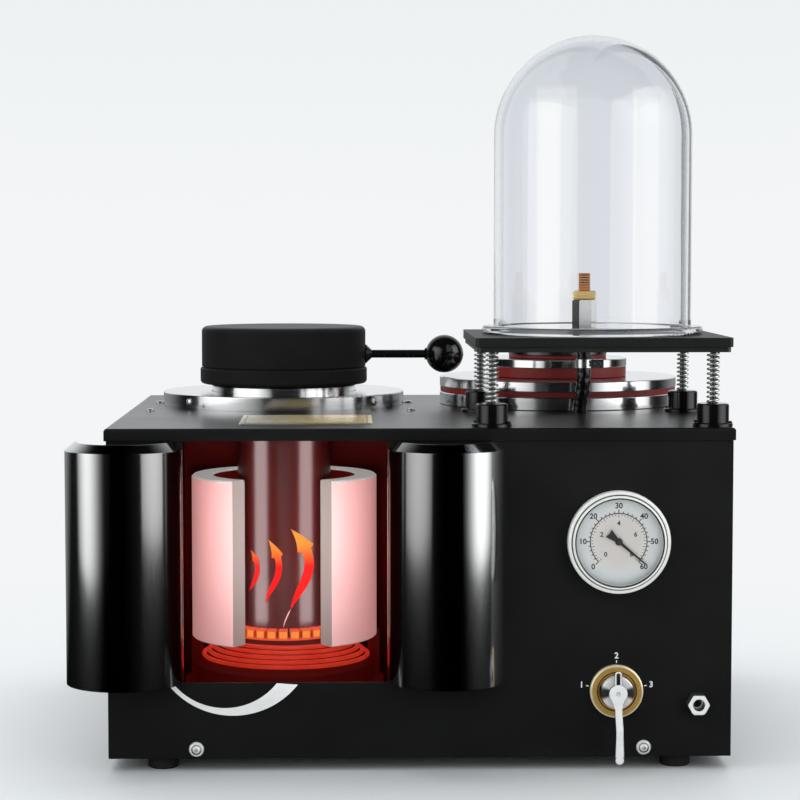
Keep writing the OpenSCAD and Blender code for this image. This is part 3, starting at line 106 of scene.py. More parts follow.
def add_node(tree, kind, sockets, **settings):
    """Adds a shader node with its settings, and feeds its sockets."""
    node = tree.nodes.new("ShaderNode" + kind)
    for name, value in settings.items():
        setattr(node, name, value)
    feed(node, sockets)
    return node


def new_material(name):
    """A named material's node tree, its shader, and the place of a point on the machine in metres."""
    material = bpy.data.materials.new(name)
    material.use_nodes = True
    tree = material.node_tree
    place = add_node(tree, "TexCoord", {}).outputs["Object"]
    return material, tree, tree.nodes["Principled BSDF"], place


def add_piece(bm, name, material, body, smooth=True):
    """Turns a finished bmesh into a piece that rides on a body and takes a slot's finish."""
    mesh = bpy.data.meshes.new(name)
    bm.to_mesh(mesh)
    bm.free()
    mesh.materials.append(material)
    if smooth:
        mesh.shade_smooth()
    piece = bpy.data.objects.new(name, mesh)
    scene.collection.objects.link(piece)
    if body:
        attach(piece, body)
    return piece


def room_level(tree, heading, in_mirrors):
    """How bright the room is in a direction. The eye sees it plain. Glass does too, but for a black flag
    out of sight on the right. Matt surfaces are lit most from the front, and mirrors see light behind."""
    ray = add_node(tree, "LightPath", {}).outputs
    toward = add_node(tree, "SeparateXYZ", {"Vector": heading}).outputs
    matt = add_node(tree, "MapRange", {
        "Value": toward["Y"], "From Min": -1.0, "To Min": MATT_FRONT, "To Max": MATT_BACK,
    })
    mirrored = add_node(tree, "MapRange", {
        "Value": toward["Y"], "From Min": MIRROR_FADE[0], "From Max": MIRROR_FADE[1],
        "To Min": MIRROR_FRONT, "To Max": in_mirrors,
    }, interpolation_type="SMOOTHSTEP")
    sideways = add_node(tree, "Math", {0: toward["X"], 1: toward["Y"]}, operation="ARCTAN2")
    flag = add_node(tree, "Math", {0: sideways, 1: FLAG_MIDDLE, 2: FLAG_HALF}, operation="COMPARE")
    through_glass = add_node(tree, "Math", {0: 1.0, 1: flag}, operation="SUBTRACT")
    level = add_node(tree, "Mix", {0: ray["Is Glossy Ray"], 2: matt, 3: mirrored})
    level = add_node(tree, "Mix", {0: ray["Is Transmission Ray"], 2: level, 3: through_glass})
    return add_node(tree, "Mix", {0: ray["Is Camera Ray"], 2: level, 3: 1.0})


bm = bmesh.new()
bmesh.ops.create_circle(bm, cap_ends=True, segments=96, radius=FLOOR_R)
paper, tree, shader, place = new_material("matt_white_paper")
feed(shader, {"Base Color": PAPER, "Roughness": 0.6, "Specular IOR Level": 0.3})
outward = add_node(tree, "VectorMath", {0: place}, operation="LENGTH").outputs["Value"]
far = add_node(tree, "MapRange", {
    "Value": outward, "From Min": PAPER_ENDS, "From Max": ROOM_STARTS,
}, interpolation_type="SMOOTHSTEP")
mirror_ray = add_node(tree, "LightPath", {}).outputs["Is Glossy Ray"]
shown = add_node(tree, "Math", {0: far, 1: mirror_ray}, operation="MAXIMUM")
heading = add_node(tree, "VectorMath", {0: place}, operation="NORMALIZE")
room = add_node(tree, "Emission", {
    "Color": FAR_AWAY, "Strength": room_level(tree, heading, FLOOR_IN_MIRRORS),
})
both = add_node(tree, "MixShader", {0: shown, 1: shader, 2: room})
feed(tree.nodes["Material Output"], {"Surface": both})
floor = add_piece(bm, "studio_paper", paper, None)


def add_soft_light(name, place, heading, size, watts, spread, on_matt):
    """Adds a rectangle of light out of sight, which is cast on matt surfaces or shows in mirrors."""
    light_data = bpy.data.lights.new(name, "AREA")
    light_data.shape = "RECTANGLE"
    light_data.size, light_data.size_y = size
    light_data.energy = watts
    light_data.spread = math.radians(spread)
    light = bpy.data.objects.new(name, light_data)
    light.location = place
    light.rotation_euler = heading.to_track_quat("-Z", "Y").to_euler()
    light.visible_camera = False
    light.visible_diffuse = on_matt
    light.visible_glossy = not on_matt
    scene.collection.objects.link(light)
    return light


for name, place, aim, size, watts, spread, on_matt in (
    ("box_above", (-0.1, 0.35, 2.2), (0, 0.05, 0.3), (2.6, 1.6), 26, 180, True),
    ("box_left", (-1.18, -0.85, 0.72), (0, -0.15, 0.3), (2.0, 1.5), 5.6, 90, False),
    ("box_right", (1.16, -0.69, 0.72), (0, -0.15, 0.3), (2.0, 1.5), 7.4, 90, False),
):
    heading = Vector(aim) - Vector(place)
    box = add_soft_light(name, place, heading, size, watts, spread, on_matt)
    box.visible_transmission = False

world = bpy.data.worlds.new("studio_room")
scene.world = world
world.use_nodes = True
tree = world.node_tree
heading = add_node(tree, "TexCoord", {}).outputs["Generated"]
aloft = add_node(tree, "MapRange", {
    "Value": add_node(tree, "SeparateXYZ", {"Vector": heading}).outputs["Z"], "From Max": 0.16,
}, interpolation_type="SMOOTHSTEP")
sky = add_node(tree, "MixRGB", {"Fac": aloft, "Color1": FAR_AWAY, "Color2": SKY})
feed(tree.nodes["Background"], {"Color": sky, "Strength": room_level(tree, heading, 1.0)})


# ---- Case: base tray, front panel, side panels and rear cover ----
# Folded from 2 mm cold-rolled steel sheet and powder coated black. The coat is baked on as a fine
# orange peel, so it is satin and a little uneven, and its folded edges show as a thin soft light.
PEEL_MM = 1.1
CLOUD_MM = 60


def mottled_finish(name, dark, light, mottle_mm, roughness, lift=None, detail=2.0, stretch=None,
                   grain_mm=None, edge=None, metallic=0.0, specular=0.5, more=None):
    """A new material whose tone wanders between two colours, and its shine too if it is given two
    roughnesses. That pattern or a finer grain lifts its surface, and an edge is rounded to the eye.
    The tone comes back last, so that another can be laid over it."""
    material, tree, shader, place = new_material(name)
    drawn = place
    if stretch:
        drawn = add_node(tree, "Mapping", {"Vector": place, "Scale": stretch})
    mottle = add_node(tree, "TexNoise", {"Vector": drawn, "Scale": 1000 / mottle_mm, "Detail": detail})
    tone = add_node(tree, "MixRGB", {"Fac": mottle, "Color1": dark, "Color2": light})
    if isinstance(roughness, tuple):
        smooth, rough = roughness
        roughness = add_node(tree, "MapRange", {"Value": mottle, "To Min": smooth, "To Max": rough})
    feed(shader, {
        "Base Color": tone,
        "Metallic": metallic,
        "Roughness": roughness,
        "Specular IOR Level": specular,
    })
    feed(shader, more or {})
    if lift:
        grain = mottle
        if grain_mm:
            grain = add_node(tree, "TexNoise", {"Vector": drawn, "Scale": 1000 / grain_mm})
        bump = add_node(tree, "Bump", {"Height": grain, "Distance": lift})
        feed(shader, {"Normal": bump})
        if edge:
            feed(bump, {"Normal": add_node(tree, "Bevel", {"Radius": edge}, samples=4)})
    return material, tree, shader, place, tone


def plain_finish(*pattern, **looks):
    """A mottled finish that nothing is laid over."""
    return mottled_finish(*pattern, **looks)[0]


def finish_nodes(material, *names):
    """Gives the machined solids of those names one material."""
    for name in names:
        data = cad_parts[name].data
        data.materials.clear()
        data.materials.append(material)


powder = plain_finish(
    "powder_coated_sheet_steel", "#0f0f0f", "#161616", mottle_mm=CLOUD_MM, roughness=(0.36, 0.5),
    specular=0.3, grain_mm=PEEL_MM, lift=0.00002, edge=0.0006,
)
finish_nodes(powder, "base_tray", "front_panel", "side_panels", "rear_cover")


# ---- White stripe ----
# A plain crescent of white enamel under the window, sprayed through a mask and as thin as paint.
# It lies between two arcs, and the inner one is smaller and sits a little to the left. Each arc is
# given by how far its middle lies left of the panel's, by the height of its middle and by its radius.
STRIPE_THICK = 0.00008
STRIPE_SWEEP = math.radians(103)
STRIPE_STEPS = 40
STRIPE_ARCS = ((0.182, 0.135, 0.080), (0.190, 0.1268, 0.0643))

panel_low, panel_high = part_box("front_panel")
panel_x = (panel_low.x + panel_high.x) / 2
bm = bmesh.new()
for left_of_middle, middle_z, radius in STRIPE_ARCS:
    middle = Vector((panel_x - left_of_middle, panel_low.y, middle_z))
    start = middle + Matrix.Rotation(-STRIPE_SWEEP / 2, 3, "Y") @ Vector((0, 0, -radius))
    bmesh.ops.spin(
        bm, geom=[bm.verts.new(start)], cent=middle, axis=(0, 1, 0), angle=STRIPE_SWEEP, steps=STRIPE_STEPS
    )
bmesh.ops.bridge_loops(bm, edges=bm.edges[:])
bmesh.ops.recalc_face_normals(bm, faces=bm.faces)
bmesh.ops.solidify(bm, geom=bm.faces[:], thickness=STRIPE_THICK)
behind = max(vert.co.y for vert in bm.verts)
bmesh.ops.translate(bm, verts=bm.verts, vec=(0, panel_low.y - behind, 0))
bmesh.ops.recalc_face_normals(bm, faces=bm.faces)

white_coat = plain_finish(
    "sprayed_white_enamel", "#e2e2e1", "#f2f2f1", mottle_mm=6.0, detail=4.0, roughness=0.42, lift=0.00001,
)
add_piece(bm, "white_stripe", white_coat, "machine", smooth=False)


# ---- Partition and control module ----
# Galvanised sheet inside the case: it parts the hot side from the pump side and carries the board.
# Hot-dip zinc freezes in flat crystals, so it shows grey spangles about a centimetre across.
zinc, tree, shader, place = new_material("galvanised_sheet_steel")
spangle = add_node(tree, "TexVoronoi", {"Vector": place, "Scale": 1000 / 9.0}).outputs["Color"]
tone = add_node(tree, "RGBToBW", {"Color": spangle})
feed(shader, {
    "Base Color": add_node(tree, "MixRGB", {"Fac": tone, "Color1": "#8e9396", "Color2": "#a9adb0"}),
    "Metallic": 1.0,
    "Roughness": add_node(tree, "MapRange", {"Value": tone, "To Min": 0.3, "To Max": 0.5}),
    "Normal": add_node(tree, "Bump", {"Height": tone, "Distance": 0.00001}),
})
finish_nodes(zinc, "partition_wall", "control_module")


# ---- Feet and case screws ----
# Four moulded rubber feet are screwed on from below, and pan-head screws hold the top cover, the
# rear cover and the name plate. The rubber is dull and greyed by handling. All these screws are zinc
# plated, bright with a faint haze.
rubber = plain_finish(
    "moulded_rubber", "#101011", "#212122", mottle_mm=4.0, detail=4.0, roughness=0.78, specular=0.3,
    grain_mm=0.8, lift=0.00002, edge=0.0008,
)
finish_nodes(rubber, "rubber_feet")

plated = plain_finish(
    "zinc_plated_steel", "#c3c6c9", "#e2e4e6", mottle_mm=1.5, detail=3.0, roughness=(0.2, 0.34),
    metallic=1.0, lift=0.00001, edge=0.0003,
)
finish_nodes(plated, "foot_screws", "pan_screws")


# ---- Rolled-back panels ----
# The sheet cut out of the front is rolled outwards to each side as a half tube with a thick wall.
# It is blacked and polished steel, so each box shows as a soft upright band. Its colour is painted lighter
# on the outer flank of each roll, less light on the flank beside the window, and dark along its crown, so
# the bands show brighter on the flanks: painted sheen and painted shade.
ROLL_R = 0.0565
INNER_FLANK_SHEEN = (-0.004, -0.022, "#8f908f")
OUTER_FLANK_SHEEN = (0.012, 0.034, "#d3d5d5")

roll_low, roll_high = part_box("roll_panels")
roll_mid = (roll_low.x + roll_high.x) / 2
crown = (roll_high.x - roll_low.x) / 2 - ROLL_R

rolled, tree, shader, place, tone = mottled_finish(
    "blacked_polished_steel", "#1a1a1a", "#1a1a1a", mottle_mm=0.7, stretch=(1, 1, 0.02),
    roughness=(0.1, 0.15), metallic=1.0, lift=0.000002, edge=0.0012,
)
from_mid = add_node(tree, "Math", {
    0: add_node(tree, "SeparateXYZ", {"Vector": place}).outputs["X"], 1: roll_mid,
}, operation="SUBTRACT")
from_mid = add_node(tree, "Math", {0: from_mid}, operation="ABSOLUTE")
# Painted sheen and shade: the flanks are made to reflect more than the dark crown.
for starts, full, colour in (INNER_FLANK_SHEEN, OUTER_FLANK_SHEEN):
    flank_sheen = add_node(tree, "MapRange", {
        "Value": from_mid, "From Min": crown + starts, "From Max": crown + full,
    }, interpolation_type="SMOOTHSTEP")
    tone = add_node(tree, "MixRGB", {"Fac": flank_sheen, "Color1": tone, "Color2": colour})
feed(shader, {"Base Color": tone})
finish_nodes(rolled, "roll_panels")


# ---- Furnace enclosure ----
# A box of sheet steel round the furnace, open to the front window and sprayed with a heatproof
# enamel in deep red. It is nearly matt, with the faint cloudiness of a coat put on by hand.
red_coat = plain_finish(
    "heatproof_red_enamel", "#420402", "#4e0503", mottle_mm=70, roughness=0.62, specular=0.06,
    grain_mm=1.3, lift=0.00002, edge=0.0004,
)
finish_nodes(red_coat, "furnace_enclosure")


# ---- Base brick and bushes ----
# Pressed fireclay under the furnace, grained like biscuit and stained deep red by the winding on
# it. The two ends of the winding pass it in bushes of white steatite, smooth and slightly waxy.
# The brick is also given a faint red glow, painted light from the winding above it.
fireclay = plain_finish(
    "pressed_fireclay", "#420604", "#6b0f09", mottle_mm=1.6, detail=5.0, roughness=0.7, lift=0.00025,
    edge=0.0008, more={"Emission Color": "#b01208", "Emission Strength": 0.05},
)
finish_nodes(fireclay, "base_brick")

bush = plain_finish(
    "steatite_bush", "#d9d2c3", "#ebe5d8", mottle_mm=3.0, roughness=0.5, lift=0.00001,
)
finish_nodes(bush, "element_terminals")


# ---- Heating element ----
# Resistance wire wound in five turns up the cone of the brick, with both ends led down to bushes.
# It glows a dull red-orange, a little unevenly, because the wire runs hotter where it lies close.
WIRE_R = 0.0024
WIRE_ROUNDING = 3
TURNS = 5
TURN_STEPS = 72
COIL_START = math.radians(150)
COIL_FOOT, COIL_HEAD = 0.051, 0.073
COIL_OUTER, COIL_INNER = 0.0945, 0.066
BUSH_TOP = 0.0413
TERMINAL_Y = 0.112

tube_low, tube_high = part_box("furnace_tube")
axis_x = (tube_low.x + tube_high.x) / 2
axis_y = (tube_low.y + tube_high.y) / 2


def bend_wire(name, runs, radius):
    """A mesh of round wire along each run of points, with flat caps on its ends."""
    data = bpy.data.curves.new(name, "CURVE")
    data.dimensions = "3D"
    data.bevel_depth = radius
    data.bevel_resolution = WIRE_ROUNDING
    data.use_fill_caps = True
    for run in runs:
        spline = data.splines.new("POLY")
        spline.points.add(len(run) - 1)
        for point, place in zip(spline.points, run):
            point.co = (*place, 1)
    shape = bpy.data.objects.new(name, data)
    mesh = bpy.data.meshes.new_from_object(shape)
    bpy.data.objects.remove(shape)
    bpy.data.curves.remove(data)
    bm = bmesh.new()
    bm.from_mesh(mesh)
    bpy.data.meshes.remove(mesh)
    return bm


coil = []
for step in range(TURNS * TURN_STEPS + 1):
    share = step / (TURNS * TURN_STEPS)
    turn = COIL_START - 2 * math.pi * TURNS * share
    reach = COIL_OUTER + (COIL_INNER - COIL_OUTER) * share
    rise = COIL_FOOT + (COIL_HEAD - COIL_FOOT) * share
    coil.append((axis_x + reach * math.sin(turn), axis_y - reach * math.cos(turn), rise))
(foot_x, foot_y, foot_z), (head_x, head_y, head_z) = coil[0], coil[-1]
outer_tail = [(foot_x, axis_y + TERMINAL_Y, foot_z), (foot_x, foot_y, foot_z)]
inner_tail = [(head_x, head_y, head_z), (head_x, head_y, BUSH_TOP)]
bm = bend_wire("winding", [coil, outer_tail, inner_tail], WIRE_R)

glow, tree, shader, place = new_material("glowing_resistance_wire")
heat = add_node(tree, "TexNoise", {"Vector": place, "Scale": 1000 / 22.0})
scale = add_node(tree, "TexNoise", {"Vector": place, "Scale": 1000 / 1.4, "Detail": 4.0})
feed(shader, {
    "Base Color": add_node(tree, "MixRGB", {"Fac": scale, "Color1": "#7c1a10", "Color2": "#b43828"}),
    "Roughness": 0.4,
    "Normal": add_node(tree, "Bump", {"Height": scale, "Distance": 0.0001}),
    "Emission Color": add_node(tree, "MixRGB", {"Fac": heat, "Color1": "#c11a0d", "Color2": "#ea4630"}),
    "Emission Strength": 0.55,
})
winding = add_piece(bm, "winding", glow, "machine")
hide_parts("heating_element")


# ---- Glowing ring ----
# A slotted ring of heating blocks round the tube's foot, held between two rails.
# The blocks are a bright yellow-orange where the current runs, and the rails stay a duller red.
RING_BLOCKS = 30
RAIL_FADE = (0.0030, 0.0042)
GAP_FADE = (0.2, 0.85)

ring_low, ring_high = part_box("glowing_ring")

embers, tree, shader, place = new_material("glowing_ceramic_block")
heat = add_node(tree, "TexNoise", {"Vector": place, "Scale": 1000 / 5.0, "Detail": 3.0})
parts = add_node(tree, "SeparateXYZ", {
    "Vector": add_node(tree, "Mapping", {"Vector": place, "Location": (-axis_x, -axis_y, 0)}),
}).outputs
off_middle = add_node(tree, "Math", {
    0: add_node(tree, "Math", {0: parts["Z"], 1: (ring_low.z + ring_high.z) / 2}, operation="SUBTRACT"),
}, operation="ABSOLUTE")
rail = add_node(tree, "MapRange", {
    "Value": off_middle, "From Min": RAIL_FADE[0], "From Max": RAIL_FADE[1],
}, interpolation_type="SMOOTHSTEP")
around = add_node(tree, "Math", {0: parts["Y"], 1: parts["X"]}, operation="ARCTAN2")
turns = add_node(tree, "Math", {0: around, 1: RING_BLOCKS}, operation="MULTIPLY")
gap = add_node(tree, "MapRange", {
    "Value": add_node(tree, "Math", {0: turns}, operation="COSINE"),
    "From Min": GAP_FADE[0], "From Max": GAP_FADE[1],
}, interpolation_type="SMOOTHSTEP")
block = add_node(tree, "MixRGB", {"Fac": heat, "Color1": "#ff7a1c", "Color2": "#ffb547"})
block = add_node(tree, "MixRGB", {"Fac": gap, "Color1": block, "Color2": "#a3200c"})
feed(shader, {
    "Base Color": add_node(tree, "MixRGB", {"Fac": rail, "Color1": "#8a3512", "Color2": "#7d2415"}),
    "Roughness": 0.55,
    "Normal": add_node(tree, "Bump", {"Height": heat, "Distance": 0.0002}),
    "Emission Color": add_node(tree, "MixRGB", {"Fac": rail, "Color1": block, "Color2": "#ef5436"}),
    "Emission Strength": 0.72,
})
finish_nodes(embers, "glowing_ring")


# ---- Ceramic liner ----
# A slip-cast alumina sleeve with its front sawn away. It is glazed pink outside and grey where it was sawn,
# and its bore is a deep red. Towards its sides the glaze is painted a deeper pink as painted shade, sawn
# faces that look up are painted lighter and the others darker as painted light and shade, and it is given a
# faint glow in its own colours, which is painted light.
LINER_BORE_R = 0.079
BORE_RED_MARGIN = 0.0004
GLAZE = 0.0006
SIDE_SHADE_FROM = 0.05

liner_low, liner_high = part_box("ceramic_liner")
liner_r = (liner_high.x - liner_low.x) / 2

glaze, tree, shader, place = new_material("slip_cast_alumina")
flat = add_node(tree, "Mapping", {
    "Vector": place, "Location": (-axis_x, -axis_y, 0), "Scale": (1, 1, 0),
})
from_axis = add_node(tree, "VectorMath", {0: flat}, operation="LENGTH").outputs["Value"]
sideways = add_node(tree, "Math", {
    0: add_node(tree, "SeparateXYZ", {"Vector": flat}).outputs["X"],
}, operation="ABSOLUTE")
# Painted shade: a deeper pink towards the sides of the liner.
side_shade = add_node(tree, "MapRange", {
    "Value": sideways, "From Min": SIDE_SHADE_FROM, "From Max": liner_r,
}, interpolation_type="SMOOTHSTEP")
cloud = add_node(tree, "TexNoise", {"Vector": place, "Scale": 1000 / 45.0})
pink = add_node(tree, "MixRGB", {"Fac": side_shade, "Color1": "#f9c4c2", "Color2": "#f4a9a6"})
pink = add_node(tree, "MixRGB", {"Fac": cloud, "Color1": pink, "Color2": "#f6b6b3"})
facing = add_node(tree, "SeparateXYZ", {
    "Vector": add_node(tree, "NewGeometry", {}).outputs["Normal"],
}).outputs
# Painted light and shade: sawn faces that look up are lighter, the others darker.
faces_up_lit = add_node(tree, "Math", {0: facing["Z"], 1: 0.5}, operation="GREATER_THAN")
biscuit = add_node(tree, "MixRGB", {"Fac": faces_up_lit, "Color1": "#a1938e", "Color2": "#dcdad6"})
under_glaze = add_node(tree, "Math", {0: from_axis, 1: liner_r - GLAZE}, operation="LESS_THAN")
sawn = add_node(tree, "Math", {0: under_glaze, 1: faces_up_lit}, operation="MAXIMUM")
body = add_node(tree, "MixRGB", {"Fac": sawn, "Color1": pink, "Color2": biscuit})
bore = add_node(tree, "Math", {0: from_axis, 1: LINER_BORE_R + BORE_RED_MARGIN}, operation="LESS_THAN")
body = add_node(tree, "MixRGB", {"Fac": bore, "Color1": body, "Color2": "#5a0c0a"})
fine = add_node(tree, "TexNoise", {"Vector": place, "Scale": 1000 / 0.9})
edge = add_node(tree, "Bevel", {"Radius": 0.0006}, samples=4)
feed(shader, {
    "Base Color": body,
    "Roughness": 0.45,
    "Specular IOR Level": 0.3,
    "Normal": add_node(tree, "Bump", {"Height": fine, "Distance": 0.00001, "Normal": edge}),
    # Painted light: the liner glows faintly in its own colours.
    "Emission Color": body,
    "Emission Strength": 0.4,
})
finish_nodes(glaze, "ceramic_liner")


# ---- Furnace tube ----
# A crucible tube of fused quartz, dark red at its two sides and a paler plum towards its foot.
# Two slim lamps inside the furnace draw the pale upright bands that a hot tube shows, and a wider one
# before the window lights the liner.
LAMP_ANGLE = math.radians(38)
LAMP_REACH = 0.0725
FILL_REACH = 0.551
PALE_FOOT_HEIGHT = 0.12

tube_r = (tube_high.x - tube_low.x) / 2

quartz, tree, shader, place, tone = mottled_finish(
    "fused_quartz", "#3f0b09", "#521311", mottle_mm=24, stretch=(1, 1, 0.25), roughness=0.3, lift=0.0002,
    more={"IOR": 1.46, "Alpha": 0.9, "Coat Weight": 0.4, "Coat Roughness": 0.28},
)
low_down = add_node(tree, "MapRange", {
    "Value": add_node(tree, "SeparateXYZ", {"Vector": place}).outputs["Z"],
    "From Min": tube_low.z, "From Max": tube_low.z + PALE_FOOT_HEIGHT, "To Min": 1.0, "To Max": 0.0,
}, interpolation_type="SMOOTHSTEP")
feed(shader, {
    "Base Color": add_node(tree, "MixRGB", {"Fac": low_down, "Color1": tone, "Color2": "#5e2c2c"}),
})
finish_nodes(quartz, "furnace_tube")

for name, turn, reach, middle_z, size, watts, spread, on_matt in (
    ("tube_lamp_left", -LAMP_ANGLE, LAMP_REACH, 0.215, (0.03, 0.25), 0.15, 180, False),
    ("tube_lamp_right", LAMP_ANGLE, LAMP_REACH, 0.215, (0.03, 0.25), 0.15, 180, False),
    ("furnace_fill", 0, FILL_REACH, 0.205, (0.18, 0.16), 0.22, 36, True),
):
    out = Vector((math.sin(turn), -math.cos(turn), 0))
    place = Vector((axis_x, axis_y, middle_z)) + reach * out
    add_soft_light(name, place, -out, size, watts, spread, on_matt)


# ---- Heat arrows ----
# Three arrows and a hairline fired on the front of the tube show how the heat rises. Each starts as
# a thin tail, swings to the right and back, and ends in a flat head. A row gives four guide points,
# as x from the tube's axis and z, then the width, and the head's width as a multiple of it.
ARROWS = (
    ((-0.0387, 0.1284), (-0.0335, 0.138), (-0.0205, 0.155), (-0.0369, 0.1748), 0.0052, 1.7),
    ((-0.0196, 0.1177), (-0.0160, 0.136), (0.0105, 0.152), (-0.0167, 0.1879), 0.0068, 2.1),
    ((0.0090, 0.1120), (0.0145, 0.134), (0.0505, 0.156), (0.0083, 0.1998), 0.0104, 2.0),
    ((0.0000, 0.0900), (0.0012, 0.098), (0.0050, 0.104), (0.0094, 0.1130), 0.0012, 0.5),
)
ARROW_STEPS = 48
ARROW_COLUMNS = 6
TAIL_WIDE = 0.12
BODY_FULL = 0.5
HEAD_STARTS = 0.8
ARROW_PROUD = 0.0003
FLAME_FADE = (0.158, 0.184)
HAIR_FADE = (0.112, 0.108)

bm = bmesh.new()
for foot, rise, swing, tip, wide, barbs in ARROWS:
    guides = [Vector((x, 0, z)) for x, z in (foot, rise, swing, tip)]
    run = interpolate_bezier(*guides, ARROW_STEPS + 1)
    strip = bmesh.ops.create_grid(bm, x_segments=ARROW_COLUMNS, y_segments=ARROW_STEPS, size=0.5)["verts"]
    for vert in strip:
        step = round((vert.co.y + 0.5) * ARROW_STEPS)
        share = step / ARROW_STEPS
        ahead = run[min(step + 1, ARROW_STEPS)] - run[max(step - 1, 0)]
        across = Vector((ahead.z, 0, -ahead.x)).normalized()
        if share < HEAD_STARTS:
            swell = math.sin(math.pi / 2 * min(share / BODY_FULL, 1))
            width = wide * (TAIL_WIDE + (1 - TAIL_WIDE) * swell)
        else:
            width = wide * barbs * (1 - share) / (1 - HEAD_STARTS)
        vert.co = run[step] + vert.co.x * width * across
bmesh.ops.remove_doubles(bm, verts=bm.verts, dist=0.00001)
out = tube_r + ARROW_PROUD
for vert in bm.verts:
    vert.co = Vector((axis_x + vert.co.x, axis_y - math.sqrt(out * out - vert.co.x ** 2), vert.co.z))
bmesh.ops.recalc_face_normals(bm, faces=bm.faces)

fired, tree, shader, place = new_material("fired_ceramic_colour")
height = add_node(tree, "SeparateXYZ", {"Vector": place}).outputs["Z"]
upwards = add_node(tree, "MapRange", {
    "Value": height, "From Min": FLAME_FADE[0], "From Max": FLAME_FADE[1],
})
hair = add_node(tree, "MapRange", {"Value": height, "From Min": HAIR_FADE[0], "From Max": HAIR_FADE[1]})
speck = add_node(tree, "TexNoise", {"Vector": place, "Scale": 1000 / 1.2, "Detail": 3.0})
flame = add_node(tree, "MixRGB", {"Fac": upwards, "Color1": "#d80a05", "Color2": "#c27a2c"})
flame = add_node(tree, "MixRGB", {"Fac": hair, "Color1": flame, "Color2": "#e6b3ad"})
feed(shader, {
    "Base Color": flame,
    "Roughness": 0.6,
    "Specular IOR Level": 0.1,
    "Normal": add_node(tree, "Bump", {"Height": speck, "Distance": 0.00003}),
    # Painted light: the fired colour is given a faint glow.
    "Emission Color": flame,
    "Emission Strength": 0.28,
})
add_piece(bm, "heat_arrows", fired, "machine")


# ---- Thermocouple ----
# A sheathed steel probe reaches in from the back, close to the tube.
# The heat has blued and browned it in patches.
tinted = plain_finish(
    "heat_tinted_stainless_steel", "#8e8a92", "#b39a7c", mottle_mm=14, detail=3.0, roughness=(0.25, 0.4),
    metallic=1.0, lift=0.00002, edge=0.0003,
)
finish_nodes(tinted, "thermocouple")


# ---- Top cover ----
# The lid of the case, folded down all round and drilled for both mouths. It has the same powder
# coat as the case, but lies flat, so its orange peel catches the light of the room as a grey sheen.
cover_powder = plain_finish(
    "powder_coated_cover_steel", "#0e0e0f", "#171718", mottle_mm=CLOUD_MM, roughness=(0.26, 0.34),
    grain_mm=PEEL_MM, lift=0.000012, edge=0.0006,
)
finish_nodes(cover_powder, "top_cover")


# ---- Furnace ring ----
# A turned stainless ring round the mouth of the furnace, held by screws in its rim. Fine rings from
# the lathe run round its top, drawn coarser than they are so that they show, and its rim mirrors
# each box as a band. The rings of the casting chamber are turned and finished like it.
turned = plain_finish(
    "turned_stainless_steel", "#d0d2d3", "#e0e1e2", mottle_mm=0.5, stretch=(0.03, 0.03, 1),
    roughness=(0.1, 0.17), metallic=1.0, lift=0.000002, edge=0.0006,
)
finish_nodes(turned, "furnace_ring", "mouth_collar")
finish_nodes(turned, "chamber_flange", "large_ring", "medium_ring", "chamber_can")
finish_nodes(plated, "ring_screws")


# ---- Furnace lid ----
# A spun steel shell on a rim, filled with ceramic fibre and stoved in a matt black. Its wall takes
# almost no shine, and its flat top has been rubbed to a dull sheen.
stoved, tree, shader, _, _ = mottled_finish(
    "matt_stoved_black", "#1b1b1c", "#222223", mottle_mm=35, roughness=0.5, grain_mm=0.9,
    lift=0.000012, edge=0.0012,
)
facing = add_node(tree, "SeparateXYZ", {
    "Vector": add_node(tree, "NewGeometry", {}).outputs["Normal"],
}).outputs
rubbed = add_node(tree, "MapRange", {
    "Value": facing["Z"], "From Min": 0.5, "From Max": 0.98, "To Min": 0.03, "To Max": 0.6,
}, interpolation_type="SMOOTHSTEP")
feed(shader, {"Specular IOR Level": rubbed})
finish_nodes(stoved, "lid_shell", "lid_rim")

fibre = plain_finish(
    "ceramic_fibre_board", "#d3cdc0", "#f0ede5", mottle_mm=1.2, detail=5.0, roughness=0.95, lift=0.0003,
)
finish_nodes(fibre, "lid_filling")


# ---- Lid handle ----
# A black steel rod with a ball of phenolic resin on its end, moulded and then polished.
# The ball is glossy enough to show each box as a small bright window.
phenolic = plain_finish(
    "polished_phenolic", "#050505", "#0b0b0c", mottle_mm=20, roughness=0.16, lift=0.00002,
)
finish_nodes(phenolic, "ball_knob")

blacked = plain_finish(
    "blacked_rod_steel", "#080808", "#111112", mottle_mm=4.0, detail=3.0, roughness=(0.22, 0.32),
    lift=0.00001, edge=0.0004,
)
finish_nodes(blacked, "lid_handle")


# ---- Name plate ----
# A bare plate of half-hard brass, brushed along its length and lacquered. It is silvery at its left
# end and pale gold at its right, and a black rule runs round it as the only print. The brushing is
# drawn coarser than it is, so that it shows.
RULE_IN = 0.0045
RULE_WIDE = 0.0008
RULE_PROUD = 0.00005
SILVER_SHARE = 0.6

plate_low, plate_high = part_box("name_plate")
plate_long = plate_high.x - plate_low.x
brass, tree, shader, place, tone = mottled_finish(
    "brushed_brass", "#c49a42", "#fff0bd", mottle_mm=1.1, detail=3.0, stretch=(0.03, 1, 1),
    roughness=(0.16, 0.34), metallic=0.6, lift=0.000006,
)
silvery = add_node(tree, "MapRange", {
    "Value": add_node(tree, "SeparateXYZ", {"Vector": place}).outputs["X"],
    "From Min": plate_low.x, "From Max": plate_low.x + SILVER_SHARE * plate_long,
    "To Min": 1.0, "To Max": 0.0,
})
feed(shader, {
    "Base Color": add_node(tree, "MixRGB", {"Fac": silvery, "Color1": tone, "Color2": "#e6e1d4"}),
})
finish_nodes(brass, "name_plate")

